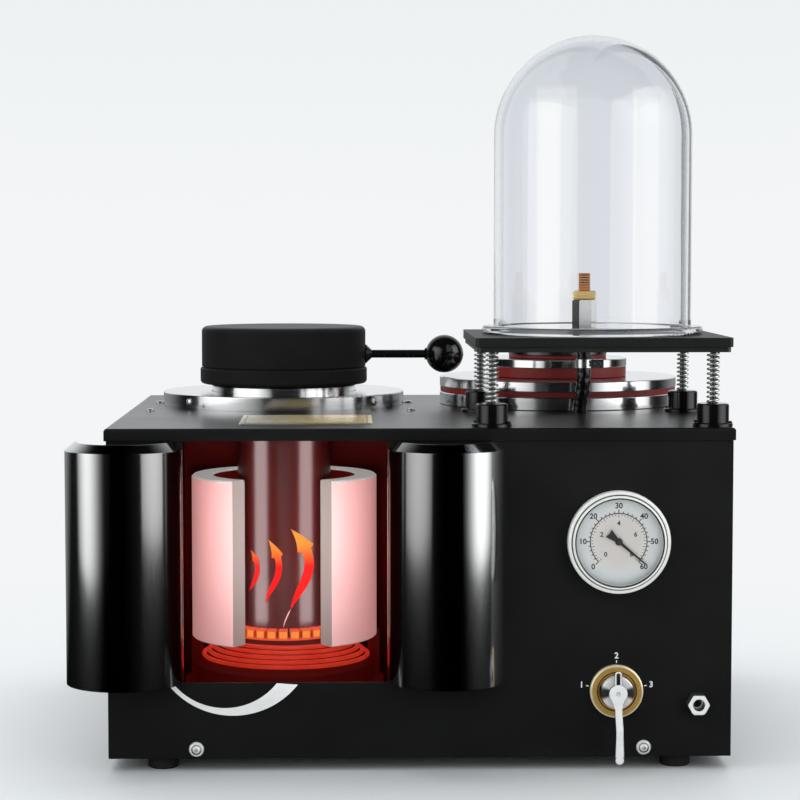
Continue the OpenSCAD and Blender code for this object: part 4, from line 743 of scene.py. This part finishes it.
bm = bmesh.new()
bmesh.ops.create_grid(bm, x_segments=1, y_segments=1, size=0.5)
bmesh.ops.scale(bm, verts=bm.verts, vec=(
    plate_long - 2 * RULE_IN, plate_high.y - plate_low.y - 2 * RULE_IN, 1,
))
rim = bmesh.ops.inset_region(bm, faces=bm.faces[:], thickness=RULE_WIDE, use_boundary=True)["faces"]
middle = [face for face in bm.faces if face not in rim]
bmesh.ops.delete(bm, geom=middle, context="FACES_ONLY")
raised = bmesh.ops.extrude_face_region(bm, geom=bm.faces[:])["geom"]
lifted = [part for part in raised if isinstance(part, bmesh.types.BMVert)]
bmesh.ops.translate(bm, verts=lifted, vec=(0, 0, RULE_PROUD))
bmesh.ops.translate(bm, verts=bm.verts, vec=(
    (plate_low.x + plate_high.x) / 2, (plate_low.y + plate_high.y) / 2, plate_high.z,
))
bmesh.ops.recalc_face_normals(bm, faces=bm.faces)

ink = plain_finish("black_screen_ink", "#111111", "#1e1e1f", mottle_mm=0.6, roughness=0.55)
add_piece(bm, "plate_rule", ink, "machine", smooth=False)


# ---- Casting chamber: gaskets and loose rings ----
# The polished rings stand on each other with a gasket under each, so that flasks of three sizes
# seal. The gaskets are moulded in red silicone rubber, soft to the eye and slightly waxy.
silicone = plain_finish(
    "red_silicone_rubber", "#7a1813", "#8e231b", mottle_mm=8, roughness=0.5, specular=0.35,
    grain_mm=0.8, lift=0.00001, edge=0.0005,
)
finish_nodes(silicone, "large_gasket", "medium_gasket", "small_gasket")


# ---- Small ring and guide rods ----
# The smallest ring and the four rods that guide the table are carbon steel, turned and then blued
# in hot oil, so they are a dark grey metal with a soft shine.
blued = plain_finish(
    "oil_blued_steel", "#3f3f41", "#59595c", mottle_mm=6, detail=3.0, roughness=(0.2, 0.3),
    metallic=1.0, lift=0.00001, edge=0.0006,
)
finish_nodes(blued, "small_ring", "guide_rods")


# ---- Spring cups ----
# Four turned steel cups bolted to the cover and stoved in a hard gloss black, so that they show
# each box as a narrow upright light.
gloss = plain_finish(
    "gloss_stoved_black", "#060606", "#0b0b0b", mottle_mm=9, roughness=0.14, lift=0.00001, edge=0.0008,
)
finish_nodes(gloss, "spring_cups", "cup_bolts")


# ---- Table springs ----
# Four compression springs of hard-drawn chromed wire carry the table on its guide rods. Each stands in its
# cup and reaches up to the table at its top. The marks of the die are drawn coarser on the wire than they
# are, so that they show.
SPRING_WIRE_R = 0.0011
SPRING_TURNS = 12
SPRING_TURN_STEPS = 26
SPRING_SIDES = 10
ROD_R = 0.003

springs_low, springs_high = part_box("table_springs")
rods_low, rods_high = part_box("guide_rods")
spring_foot = springs_low.z + SPRING_WIRE_R
spring_head = springs_high.z - SPRING_WIRE_R
coil_r = rods_low.x + ROD_R - springs_low.x - SPRING_WIRE_R
steps = SPRING_TURNS * SPRING_TURN_STEPS

bm = bmesh.new()
for rod_x in (rods_low.x + ROD_R, rods_high.x - ROD_R):
    for rod_y in (rods_low.y + ROD_R, rods_high.y - ROD_R):
        wire = bmesh.ops.create_circle(
            bm, cap_ends=True, segments=SPRING_SIDES, radius=SPRING_WIRE_R
        )["verts"]
        bmesh.ops.rotate(bm, verts=wire, cent=(0, 0, 0), matrix=Matrix.Rotation(math.pi / 2, 3, "X"))
        bmesh.ops.translate(bm, verts=wire, vec=(rod_x + coil_r, rod_y, spring_foot))
        cap = [face for face in bm.faces if set(face.verts) == set(wire)]
        bmesh.ops.spin(
            bm, geom=cap + list({side for face in cap for side in face.edges}) + wire,
            cent=(rod_x, rod_y, spring_foot), axis=(0, 0, 1), angle=2 * math.pi * SPRING_TURNS,
            steps=steps, dvec=(0, 0, (spring_head - spring_foot) / steps),
        )
bmesh.ops.recalc_face_normals(bm, faces=bm.faces)

chromed = plain_finish(
    "chromed_spring_wire", "#c9c9c8", "#efefee", mottle_mm=0.7, detail=3.0, roughness=(0.14, 0.24),
    metallic=0.75, lift=0.00001,
)
springs = add_piece(bm, "coil_springs", chromed, None)
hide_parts("table_springs")
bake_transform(springs)


# ---- Table ----
# A blacked steel plate on the springs, with a pad of hard rubber on it that seals the bell jar.
# The rubber is matt and near black, and the plate is a little shinier.
pad = plain_finish(
    "hard_sealing_rubber", "#111112", "#191a1a", mottle_mm=30, roughness=0.48, specular=0.3,
    grain_mm=0.9, lift=0.00002, edge=0.001,
)
finish_nodes(pad, "table_pad")

plate = plain_finish(
    "blacked_plate_steel", "#191a1a", "#242525", mottle_mm=2.0, stretch=(0.05, 1, 1), roughness=0.35,
    specular=0.45, lift=0.00001, edge=0.0006,
)
finish_nodes(plate, "table_plate")


# ---- Table fitting ----
# A nickel-plated hex body stands through the table, with a brass nut and a short brass pipe on it.
# The plating is polished, so its front face goes bright, and the faces turned to the left are painted dark,
# a painted reflection.
# The pipe has tarnished to a warm brown above the bright nut.
BARE_PIPE_TOP, BARE_PIPE_FOOT = 0.0185, 0.0195

fitting_low, fitting_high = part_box("fitting_tube")

nickel, tree, shader, _, tone = mottled_finish(
    "nickel_plated_brass", "#dcdad5", "#f3f1ec", mottle_mm=2.5, detail=3.0, roughness=(0.12, 0.22),
    metallic=1.0, lift=0.000004, edge=0.0004,
)
facing = add_node(tree, "SeparateXYZ", {
    "Vector": add_node(tree, "NewGeometry", {}).outputs["Normal"],
}).outputs
# Painted reflection: faces turned to the left are painted dark.
left_faces_painted_dark = add_node(tree, "MapRange", {"Value": facing["X"], "From Min": -0.1, "From Max": -0.4})
feed(shader, {
    "Base Color": add_node(tree, "MixRGB", {"Fac": left_faces_painted_dark, "Color1": tone, "Color2": "#3a3937"}),
})
finish_nodes(nickel, "fitting_hex")

polished_brass, tree, shader, place, tone = mottled_finish(
    "polished_brass", "#cfa653", "#efd48f", mottle_mm=3.0, detail=3.0, roughness=(0.16, 0.28),
    metallic=1.0, lift=0.000005, edge=0.0004,
)
tarnished = add_node(tree, "MapRange", {
    "Value": add_node(tree, "SeparateXYZ", {"Vector": place}).outputs["Z"],
    "From Min": fitting_high.z - BARE_PIPE_FOOT, "From Max": fitting_high.z - BARE_PIPE_TOP,
})
feed(shader, {
    "Base Color": add_node(tree, "MixRGB", {"Fac": tarnished, "Color1": tone, "Color2": "#cf8c54"}),
})
finish_nodes(polished_brass, "fitting_tube")


# ---- Table hose ----
# A short vacuum hose of black nitrile rubber, held at both ends, with a slight bend along it. A braid
# inside prints lozenges on it. Its route is given as depths below its top, and how far it has gone to the
# left and to the back at each.
HOSE_R = 0.0075
HOSE_SIDES = 24
HOSE_STEPS = 60
HOSE_DROPS = (0, 0.026, 0.036, 0.050, 0.062, 0.074, 0.086, 0.100)
HOSE_LEFT = (0, 0, 0.0005, 0.002, 0.0035, 0.0045, 0.005, 0.005)
HOSE_BACK = (0, 0, 0.001, 0.004, 0.007, 0.009, 0.010, 0.010)
BRAID_STRANDS = 4
BRAID_PITCH = 0.012
BRAID_RAISE = 0.00022

hose_low, hose_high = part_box("table_hose")
hose_x = (fitting_low.x + fitting_high.x) / 2
hose_y = (fitting_low.y + fitting_high.y) / 2


def along_hose(offsets, drop):
    """The offset of the hose at a depth below its top, eased between the points of its route."""
    for index in range(len(HOSE_DROPS) - 1):
        if drop <= HOSE_DROPS[index + 1]:
            share = (drop - HOSE_DROPS[index]) / (HOSE_DROPS[index + 1] - HOSE_DROPS[index])
            return offsets[index] + (offsets[index + 1] - offsets[index]) * share
    return offsets[-1]


bm = bmesh.new()
bmesh.ops.create_circle(bm, cap_ends=True, segments=HOSE_SIDES, radius=HOSE_R)
drawn_out = bmesh.ops.extrude_face_region(bm, geom=bm.faces[:])["geom"]
bottom = [part for part in drawn_out if isinstance(part, bmesh.types.BMVert)]
bmesh.ops.translate(bm, verts=bottom, vec=(0, 0, -HOSE_DROPS[-1]))
upright = [side for side in bm.edges if abs(side.verts[0].co.z - side.verts[1].co.z) > HOSE_R]
bmesh.ops.subdivide_edges(bm, edges=upright, cuts=HOSE_STEPS - 1)
for vert in bm.verts:
    drop = -vert.co.z
    vert.co.x += hose_x - along_hose(HOSE_LEFT, drop)
    vert.co.y += hose_y + along_hose(HOSE_BACK, drop)
    vert.co.z += hose_high.z
bmesh.ops.recalc_face_normals(bm, faces=bm.faces)

nitrile, tree, shader, place = new_material("black_nitrile_hose")
centred = add_node(tree, "SeparateXYZ", {
    "Vector": add_node(tree, "Mapping", {"Vector": place, "Location": (-hose_x, -hose_y, 0)}),
}).outputs
around = add_node(tree, "Math", {0: centred["X"], 1: centred["Y"]}, operation="ARCTAN2")
winds = []
for lean in (-1, 1):
    per_metre = lean * 2 * math.pi / BRAID_PITCH
    climb = add_node(tree, "Math", {0: centred["Z"], 1: per_metre}, operation="MULTIPLY")
    turn = add_node(tree, "Math", {0: around, 1: BRAID_STRANDS, 2: climb}, operation="MULTIPLY_ADD")
    winds.append(add_node(tree, "Math", {0: turn}, operation="SINE"))
braid = add_node(tree, "Math", {0: winds[0], 1: winds[1]}, operation="MAXIMUM")
feed(shader, {
    "Base Color": add_node(tree, "MixRGB", {"Fac": braid, "Color1": "#050505", "Color2": "#121213"}),
    "Roughness": 0.22,
    "Normal": add_node(tree, "Bump", {"Height": braid, "Distance": BRAID_RAISE}),
})
hose = add_piece(bm, "vacuum_hose", nitrile, None)
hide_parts("table_hose")
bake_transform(hose)

finish_nodes(plated, "hose_clamp")


# ---- Bell jar ----
# Blown from borosilicate glass tube, with a domed top and a flange ground flat to seal on the pad.
# Its 5 mm wall is very slightly wavy and a trace grey. Upright bands of it are painted clearer, as painted
# highlights. A band is given by its left and right edges from the axis and by how clear it is.
JAR_HIGHLIGHT_BANDS = ((-0.062, -0.025, 1.0), (0.029, 0.056, 1.0), (0.056, 0.078, 0.5))
JAR_BAND_SOFT = 0.0012
JAR_DOME_FADE = (0.668, 0.662)

jar_low, jar_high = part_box("bell_jar")
glass, tree, shader, place = new_material("blown_borosilicate_glass")
wave = add_node(tree, "TexNoise", {
    "Vector": add_node(tree, "Mapping", {"Vector": place, "Scale": (1, 1, 0.3)}), "Scale": 1000 / 70.0,
})
parts = add_node(tree, "SeparateXYZ", {"Vector": place}).outputs
# Painted highlights: upright bands of the wall are painted clearer, below the dome.
painted_highlight = 0.0
for left, right, share in JAR_HIGHLIGHT_BANDS:
    middle, half = (jar_low.x + jar_high.x + left + right) / 2, (right - left) / 2
    off_middle = add_node(tree, "Math", {0: parts["X"], 1: middle}, operation="SUBTRACT")
    inside = add_node(tree, "MapRange", {
        "Value": add_node(tree, "Math", {0: off_middle}, operation="ABSOLUTE"),
        "From Min": half + JAR_BAND_SOFT, "From Max": half - JAR_BAND_SOFT, "To Max": share,
    })
    painted_highlight = add_node(tree, "Math", {0: inside, 1: painted_highlight}, operation="MAXIMUM")
below_dome = add_node(tree, "MapRange", {
    "Value": parts["Z"], "From Min": JAR_DOME_FADE[0], "From Max": JAR_DOME_FADE[1],
})
painted_highlight = add_node(tree, "Math", {0: painted_highlight, 1: below_dome}, operation="MULTIPLY")
feed(shader, {
    "Base Color": add_node(tree, "MixRGB", {"Fac": painted_highlight, "Color1": "#f3f4f7", "Color2": "#ffffff"}),
    "Roughness": 0.0,
    "IOR": 1.47,
    "Transmission Weight": 1.0,
    "Normal": add_node(tree, "Bump", {"Height": wave, "Distance": 0.0003}),
})
finish_nodes(glass, "bell_jar")


# ---- Vacuum gauge: case, bezel and needle ----
# A deep-drawn case plated with nickel behind the panel, and a chromed bezel over the glass. The bezel's
# chrome is painted as a light satin colour with almost no metal, a painted reflection, and two grooves
# pressed round it are painted near black as painted shade, so that it reads as two bright rings. The needle
# is stamped from sheet and enamelled black.
GROOVES = ((0.0461, 0.0010), (0.0428, 0.0015))

bezel_low, bezel_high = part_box("gauge_bezel")
gauge_x = (bezel_low.x + bezel_high.x) / 2
gauge_z = (bezel_low.z + bezel_high.z) / 2

# Painted reflection: the chrome is a light satin colour with almost no metal.
bezel, tree, shader, place, tone = mottled_finish(
    "satin_chromed_bezel", "#e9e9e4", "#f6f6f2", mottle_mm=3.0, detail=3.0, roughness=0.32,
    lift=0.000004, edge=0.0006,
)
from_axis = add_node(tree, "VectorMath", {0: add_node(tree, "Mapping", {
    "Vector": place, "Location": (-gauge_x, 0, -gauge_z), "Scale": (1, 0, 1),
})}, operation="LENGTH").outputs["Value"]
# Painted shade: the two grooves are painted near black.
groove_shade = 0.0
for reach, wide in GROOVES:
    groove = add_node(tree, "Math", {0: from_axis, 1: reach, 2: wide / 2}, operation="COMPARE")
    groove_shade = add_node(tree, "Math", {0: groove, 1: groove_shade}, operation="MAXIMUM")
feed(shader, {
    "Base Color": add_node(tree, "MixRGB", {"Fac": groove_shade, "Color1": tone, "Color2": "#1c1c1c"}),
    "Metallic": add_node(tree, "MapRange", {"Value": groove_shade, "To Min": 0.05, "To Max": 0.0}),
})
finish_nodes(bezel, "gauge_bezel")
finish_nodes(nickel, "gauge_case")

needle_enamel = plain_finish(
    "black_needle_enamel", "#1d1917", "#2b2624", mottle_mm=3.0, roughness=0.4, lift=0.000005,
)
finish_nodes(needle_enamel, "gauge_needle")


# ---- Vacuum gauge: dial ----
# A disc of coated aluminium, printed with two scales that share one arc, black outside and a faded red
# inside. It is warm white in the middle, and towards its edge, where the bezel shades it, it is painted a
# lighter, bluer white, painted light that makes up for that shade.
SCALE_ENDS = (225, -45)
ARC_R = 0.0275
ARC_WIDE = 0.0009
ARC_STEPS = 90
TICKS, INNER_TICKS = 30, 40
TICKS_A_LONG = 5
TICK_LONG, TICK_SHORT = 0.0038, 0.0021
INNER_TICK_SHARE = 0.8
TICK_WIDE = 0.0008
NUMBERS = ("0", "10", "20", "30", "40", "50", "60")
NUMBERS_R, NUMBERS_MM = 0.0348, 5.4
INNER_NUMBERS = ("0", "2", "4", "6", "8")
INNER_NUMBERS_R, INNER_NUMBERS_MM = 0.0178, 4.6
FONT_FOR_DIGIT = 1.38
DIGIT_SWELL = 0.00018
PRINT_PROUD = 0.00004
SHADE_FADE = (0.35, 0.95)

dial_low, dial_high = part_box("gauge_dial")
dial_r = (dial_high.x - dial_low.x) / 2
dial_middle = Vector((gauge_x, dial_low.y - PRINT_PROUD, gauge_z))

dial, tree, shader, place, tone = mottled_finish(
    "coated_dial_sheet", "#ece3e0", "#ece3e0", mottle_mm=0.5, roughness=0.5, lift=0.00001,
)
from_middle = add_node(tree, "VectorMath", {0: add_node(tree, "Mapping", {
    "Vector": place, "Location": (-gauge_x, -dial_low.y, -gauge_z),
})}, operation="LENGTH").outputs["Value"]
# Painted light: the edge is lighter, against the bezel's shade.
outer = add_node(tree, "MapRange", {
    "Value": from_middle, "From Min": SHADE_FADE[0] * dial_r, "From Max": SHADE_FADE[1] * dial_r,
}, interpolation_type="SMOOTHSTEP")
feed(shader, {
    "Base Color": add_node(tree, "MixRGB", {"Fac": outer, "Color1": tone, "Color2": "#f8fbfd"}),
})
finish_nodes(dial, "gauge_dial")


def on_face(middle, reach, degrees):
    """A place on an upright face, that far from its middle, at an angle from the right upwards."""
    turn = math.radians(degrees)
    return middle + reach * Vector((math.cos(turn), 0, math.sin(turn)))


def print_line(bm, middle, ends):
    """Adds a flat line to a mesh, from pairs of (reach, degrees) that lie across it on a face."""
    last = None
    for pair in ends:
        across = [bm.verts.new(on_face(middle, *end)) for end in pair]
        if last:
            bm.faces.new((last[0], last[1], across[1], across[0]))
        last = across


def print_tick(bm, middle, degrees, wide, near, far):
    """Adds a straight tick that points to the middle of a face, as wide as that at the arc's radius."""
    half = math.degrees(wide / 2 / ARC_R)
    ends = [((reach, degrees - half), (reach, degrees + half)) for reach in (near, far)]
    print_line(bm, middle, ends)


def print_numbers(bm, words, digit_mm, places):
    """Adds each number to a mesh, upright and facing the front, centred on its place."""
    for word, place in zip(words, places):
        data = bpy.data.curves.new("number", "FONT")
        data.body = word
        data.size = digit_mm / 1000 * FONT_FOR_DIGIT
        data.offset = DIGIT_SWELL
        data.align_x = "CENTER"
        data.align_y = "CENTER"
        data.resolution_u = 3
        shape = bpy.data.objects.new("number", data)
        mesh = bpy.data.meshes.new_from_object(shape)
        mesh.transform(Matrix.Translation(place) @ Matrix.Rotation(math.pi / 2, 4, "X"))
        bm.from_mesh(mesh)
        bpy.data.objects.remove(shape)
        bpy.data.curves.remove(data)
        bpy.data.meshes.remove(mesh)


def along_scale(count):
    """The angles of a scale that is cut into so many equal parts."""
    first, last = SCALE_ENDS
    return [first + (last - first) * index / count for index in range(count + 1)]


bm = bmesh.new()
print_line(bm, dial_middle, [
    ((ARC_R - ARC_WIDE / 2, degrees), (ARC_R + ARC_WIDE / 2, degrees)) for degrees in along_scale(ARC_STEPS)
])
for index, degrees in enumerate(along_scale(TICKS)):
    long = TICK_SHORT if index % TICKS_A_LONG else TICK_LONG
    print_tick(bm, dial_middle, degrees, TICK_WIDE, ARC_R, ARC_R + long)
for words, digit_mm, reach in (
    (NUMBERS, NUMBERS_MM, NUMBERS_R), (INNER_NUMBERS, INNER_NUMBERS_MM, INNER_NUMBERS_R),
):
    places = [on_face(dial_middle, reach, degrees) for degrees in along_scale(len(words) - 1)]
    print_numbers(bm, words, digit_mm, places)
add_piece(bm, "dial_scale", ink, "machine", smooth=False)

bm = bmesh.new()
inner_r = ARC_R - ARC_WIDE
for index, degrees in enumerate(along_scale(INNER_TICKS)):
    long = TICK_SHORT if index % TICKS_A_LONG else TICK_LONG
    print_tick(bm, dial_middle, degrees, TICK_WIDE, inner_r, inner_r - INNER_TICK_SHARE * long)

faded = plain_finish("faded_red_ink", "#a5696a", "#b98486", mottle_mm=0.6, roughness=0.6)
add_piece(bm, "dial_inner_scale", faded, "machine", smooth=False)


# ---- Gauge glass ----
# A flat disc of float glass behind the bezel, polished and clear.
# It shows almost nothing but a faint darkening of the dial.
float_glass, tree, shader, place = new_material("clear_float_glass")
wave = add_node(tree, "TexNoise", {"Vector": place, "Scale": 1000 / 40.0})
feed(shader, {
    "Base Color": "#fbfcfb",
    "Roughness": 0.0,
    "IOR": 1.1,
    "Transmission Weight": 1.0,
    "Normal": add_node(tree, "Bump", {"Height": wave, "Distance": 0.00001}),
})
finish_nodes(float_glass, "gauge_glass")


# ---- Valve lever, pump port and front screws ----
# The lever turns the valve between three positions. It is cast brass, like the port's hex, and both are
# polished and chromed, as are the screws. Their chrome is painted: a near-white colour with little metal as
# painted reflection, painted dark where a face turns away from the eye.
chrome, tree, shader, place = new_material("polished_chrome")
haze = add_node(tree, "TexNoise", {"Vector": place, "Scale": 1000 / 3.0, "Detail": 3.0})
edge = add_node(tree, "Bevel", {"Radius": 0.0018}, samples=6)
# Painted reflection: faces that turn from the eye are painted dark.
painted_dark_turned_away = add_node(tree, "MapRange", {
    "Value": add_node(tree, "LayerWeight", {"Normal": edge}).outputs["Facing"],
    "From Min": 0.1, "From Max": 0.4,
})
painted_bright = add_node(tree, "MixRGB", {"Fac": haze, "Color1": "#eeeeec", "Color2": "#ffffff"})
feed(shader, {
    "Base Color": add_node(tree, "MixRGB", {"Fac": painted_dark_turned_away, "Color1": painted_bright, "Color2": "#4a4a4a"}),
    "Metallic": 0.1,
    "Roughness": add_node(tree, "MapRange", {"Value": haze, "To Min": 0.1, "To Max": 0.2}),
    "Normal": add_node(tree, "Bump", {"Height": haze, "Distance": 0.000006, "Normal": edge}),
})
finish_nodes(chrome, "valve_lever", "pump_port", "front_screws")


# ---- Valve body ----
# A brass plug valve with its body screwed through the panel, turned and chromed. On its turned face the
# dark of a room is painted in as a reflection, a cross of soft dark bands: two lie level on either side of
# the axis, and widen outwards by a slope, and one stands upright through it.
BAND_SLOPE = (0.62, 0.24)
BAND_HALF = (0.0034, 0.0018)

valve_low, valve_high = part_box("escutcheon")
valve_x = (valve_low.x + valve_high.x) / 2
valve_z = (valve_low.z + valve_high.z) / 2

turned_face, tree, shader, place, tone = mottled_finish(
    "turned_chrome", "#e9e6e0", "#fbf9f4", mottle_mm=3.0, detail=3.0, roughness=0.2, metallic=0.2,
    lift=0.000006, edge=0.001,
)
from_axis = add_node(tree, "SeparateXYZ", {"Vector": add_node(tree, "VectorMath", {
    0: add_node(tree, "Mapping", {"Vector": place, "Location": (-valve_x, 0, -valve_z)}),
}, operation="ABSOLUTE")}).outputs
slope = add_node(tree, "Math", {0: from_axis["Z"], 1: from_axis["X"]}, operation="DIVIDE")
sideways = add_node(tree, "MapRange", {
    "Value": slope, "From Min": BAND_SLOPE[0], "From Max": BAND_SLOPE[1],
}, interpolation_type="SMOOTHSTEP")
upright = add_node(tree, "MapRange", {
    "Value": from_axis["X"], "From Min": BAND_HALF[0], "From Max": BAND_HALF[1],
}, interpolation_type="SMOOTHSTEP")
# Painted reflection: the cross of dark bands.
painted_reflection_bands = add_node(tree, "Math", {0: sideways, 1: upright}, operation="MAXIMUM")
feed(shader, {
    "Base Color": add_node(tree, "MixRGB", {"Fac": painted_reflection_bands, "Color1": tone, "Color2": "#3c3936"}),
})
finish_nodes(turned_face, "valve_body")


# ---- Escutcheon ----
# A disc of satin brass under lacquer, clamped between the valve and the panel. Its rim is painted bright as
# a painted highlight, and one ring on it is painted dark as a painted reflection. Both are shares of its
# radius.
RIM_HIGHLIGHT_FADE = (0.91, 0.96)
LINE_R, LINE_WIDE = 0.73, 0.045

escutcheon_r = (valve_high.x - valve_low.x) / 2

lacquered, tree, shader, place, tone = mottled_finish(
    "lacquered_satin_brass", "#b2883a", "#deb465", mottle_mm=2.0, detail=3.0, roughness=0.32,
    metallic=0.4, lift=0.000006, edge=0.0005,
)
reach = add_node(tree, "VectorMath", {0: add_node(tree, "Mapping", {
    "Vector": place, "Location": (-valve_x, 0, -valve_z), "Scale": (1, 0, 1),
})}, operation="LENGTH").outputs["Value"]
# Painted highlight on the rim, and a painted dark ring of reflection.
rim = add_node(tree, "MapRange", {
    "Value": reach, "From Min": RIM_HIGHLIGHT_FADE[0] * escutcheon_r, "From Max": RIM_HIGHLIGHT_FADE[1] * escutcheon_r,
})
painted_dark_ring = add_node(tree, "Math", {
    0: reach, 1: LINE_R * escutcheon_r, 2: LINE_WIDE / 2 * escutcheon_r,
}, operation="COMPARE")
tone = add_node(tree, "MixRGB", {"Fac": rim, "Color1": tone, "Color2": "#fff1cf"})
tone = add_node(tree, "MixRGB", {"Fac": painted_dark_ring, "Color1": tone, "Color2": "#4d320f"})
feed(shader, {"Base Color": tone})
finish_nodes(lacquered, "escutcheon")


# ---- Valve numerals ----
# The numbers of the lever's three positions, each with a short tick, printed on the panel in white
# ink through a screen. The ink is matt and stands a hair above the powder coat.
POSITIONS = (("1", 170), ("2", 90), ("3", 10))
NUMERALS_R, NUMERALS_MM = 0.0345, 6.0
MARK_NEAR, MARK_FAR = 0.0275, 0.0300
MARK_WIDE = 0.0009
INK_PROUD = 0.00006

valve_middle = Vector((valve_x, panel_low.y - INK_PROUD, valve_z))
bm = bmesh.new()
for word, degrees in POSITIONS:
    print_tick(bm, valve_middle, degrees, MARK_WIDE, MARK_NEAR, MARK_FAR)
for word, degrees in POSITIONS:
    print_numbers(bm, [word], NUMERALS_MM, [on_face(valve_middle, NUMERALS_R, degrees)])

white_ink = plain_finish("white_screen_ink", "#d6d8da", "#eceded", mottle_mm=0.6, roughness=0.55)
add_piece(bm, "valve_numerals", white_ink, "machine", smooth=False)


# ---- Mains inlet and power switch ----
# An appliance inlet and a rocker switch snap into the rear cover, low down. Both are moulded in
# glass-filled nylon, which is satin, with a faint fleck from the glass.
nylon = plain_finish(
    "glass_filled_nylon", "#101011", "#1b1b1c", mottle_mm=1.0, detail=3.0, roughness=0.45, lift=0.00002,
    edge=0.0005,
)
finish_nodes(nylon, "mains_inlet", "power_switch")


# ---- Vacuum lines ----
# Drawn copper pipe joins the port, the gauge, the valve and the chamber inside the case. It has
# dulled a little in patches since it was bent.
copper = plain_finish(
    "drawn_copper_pipe", "#b46a45", "#d58e62", mottle_mm=12, detail=4.0, roughness=(0.24, 0.4),
    metallic=1.0, lift=0.00001,
)
finish_nodes(copper, "vacuum_lines")
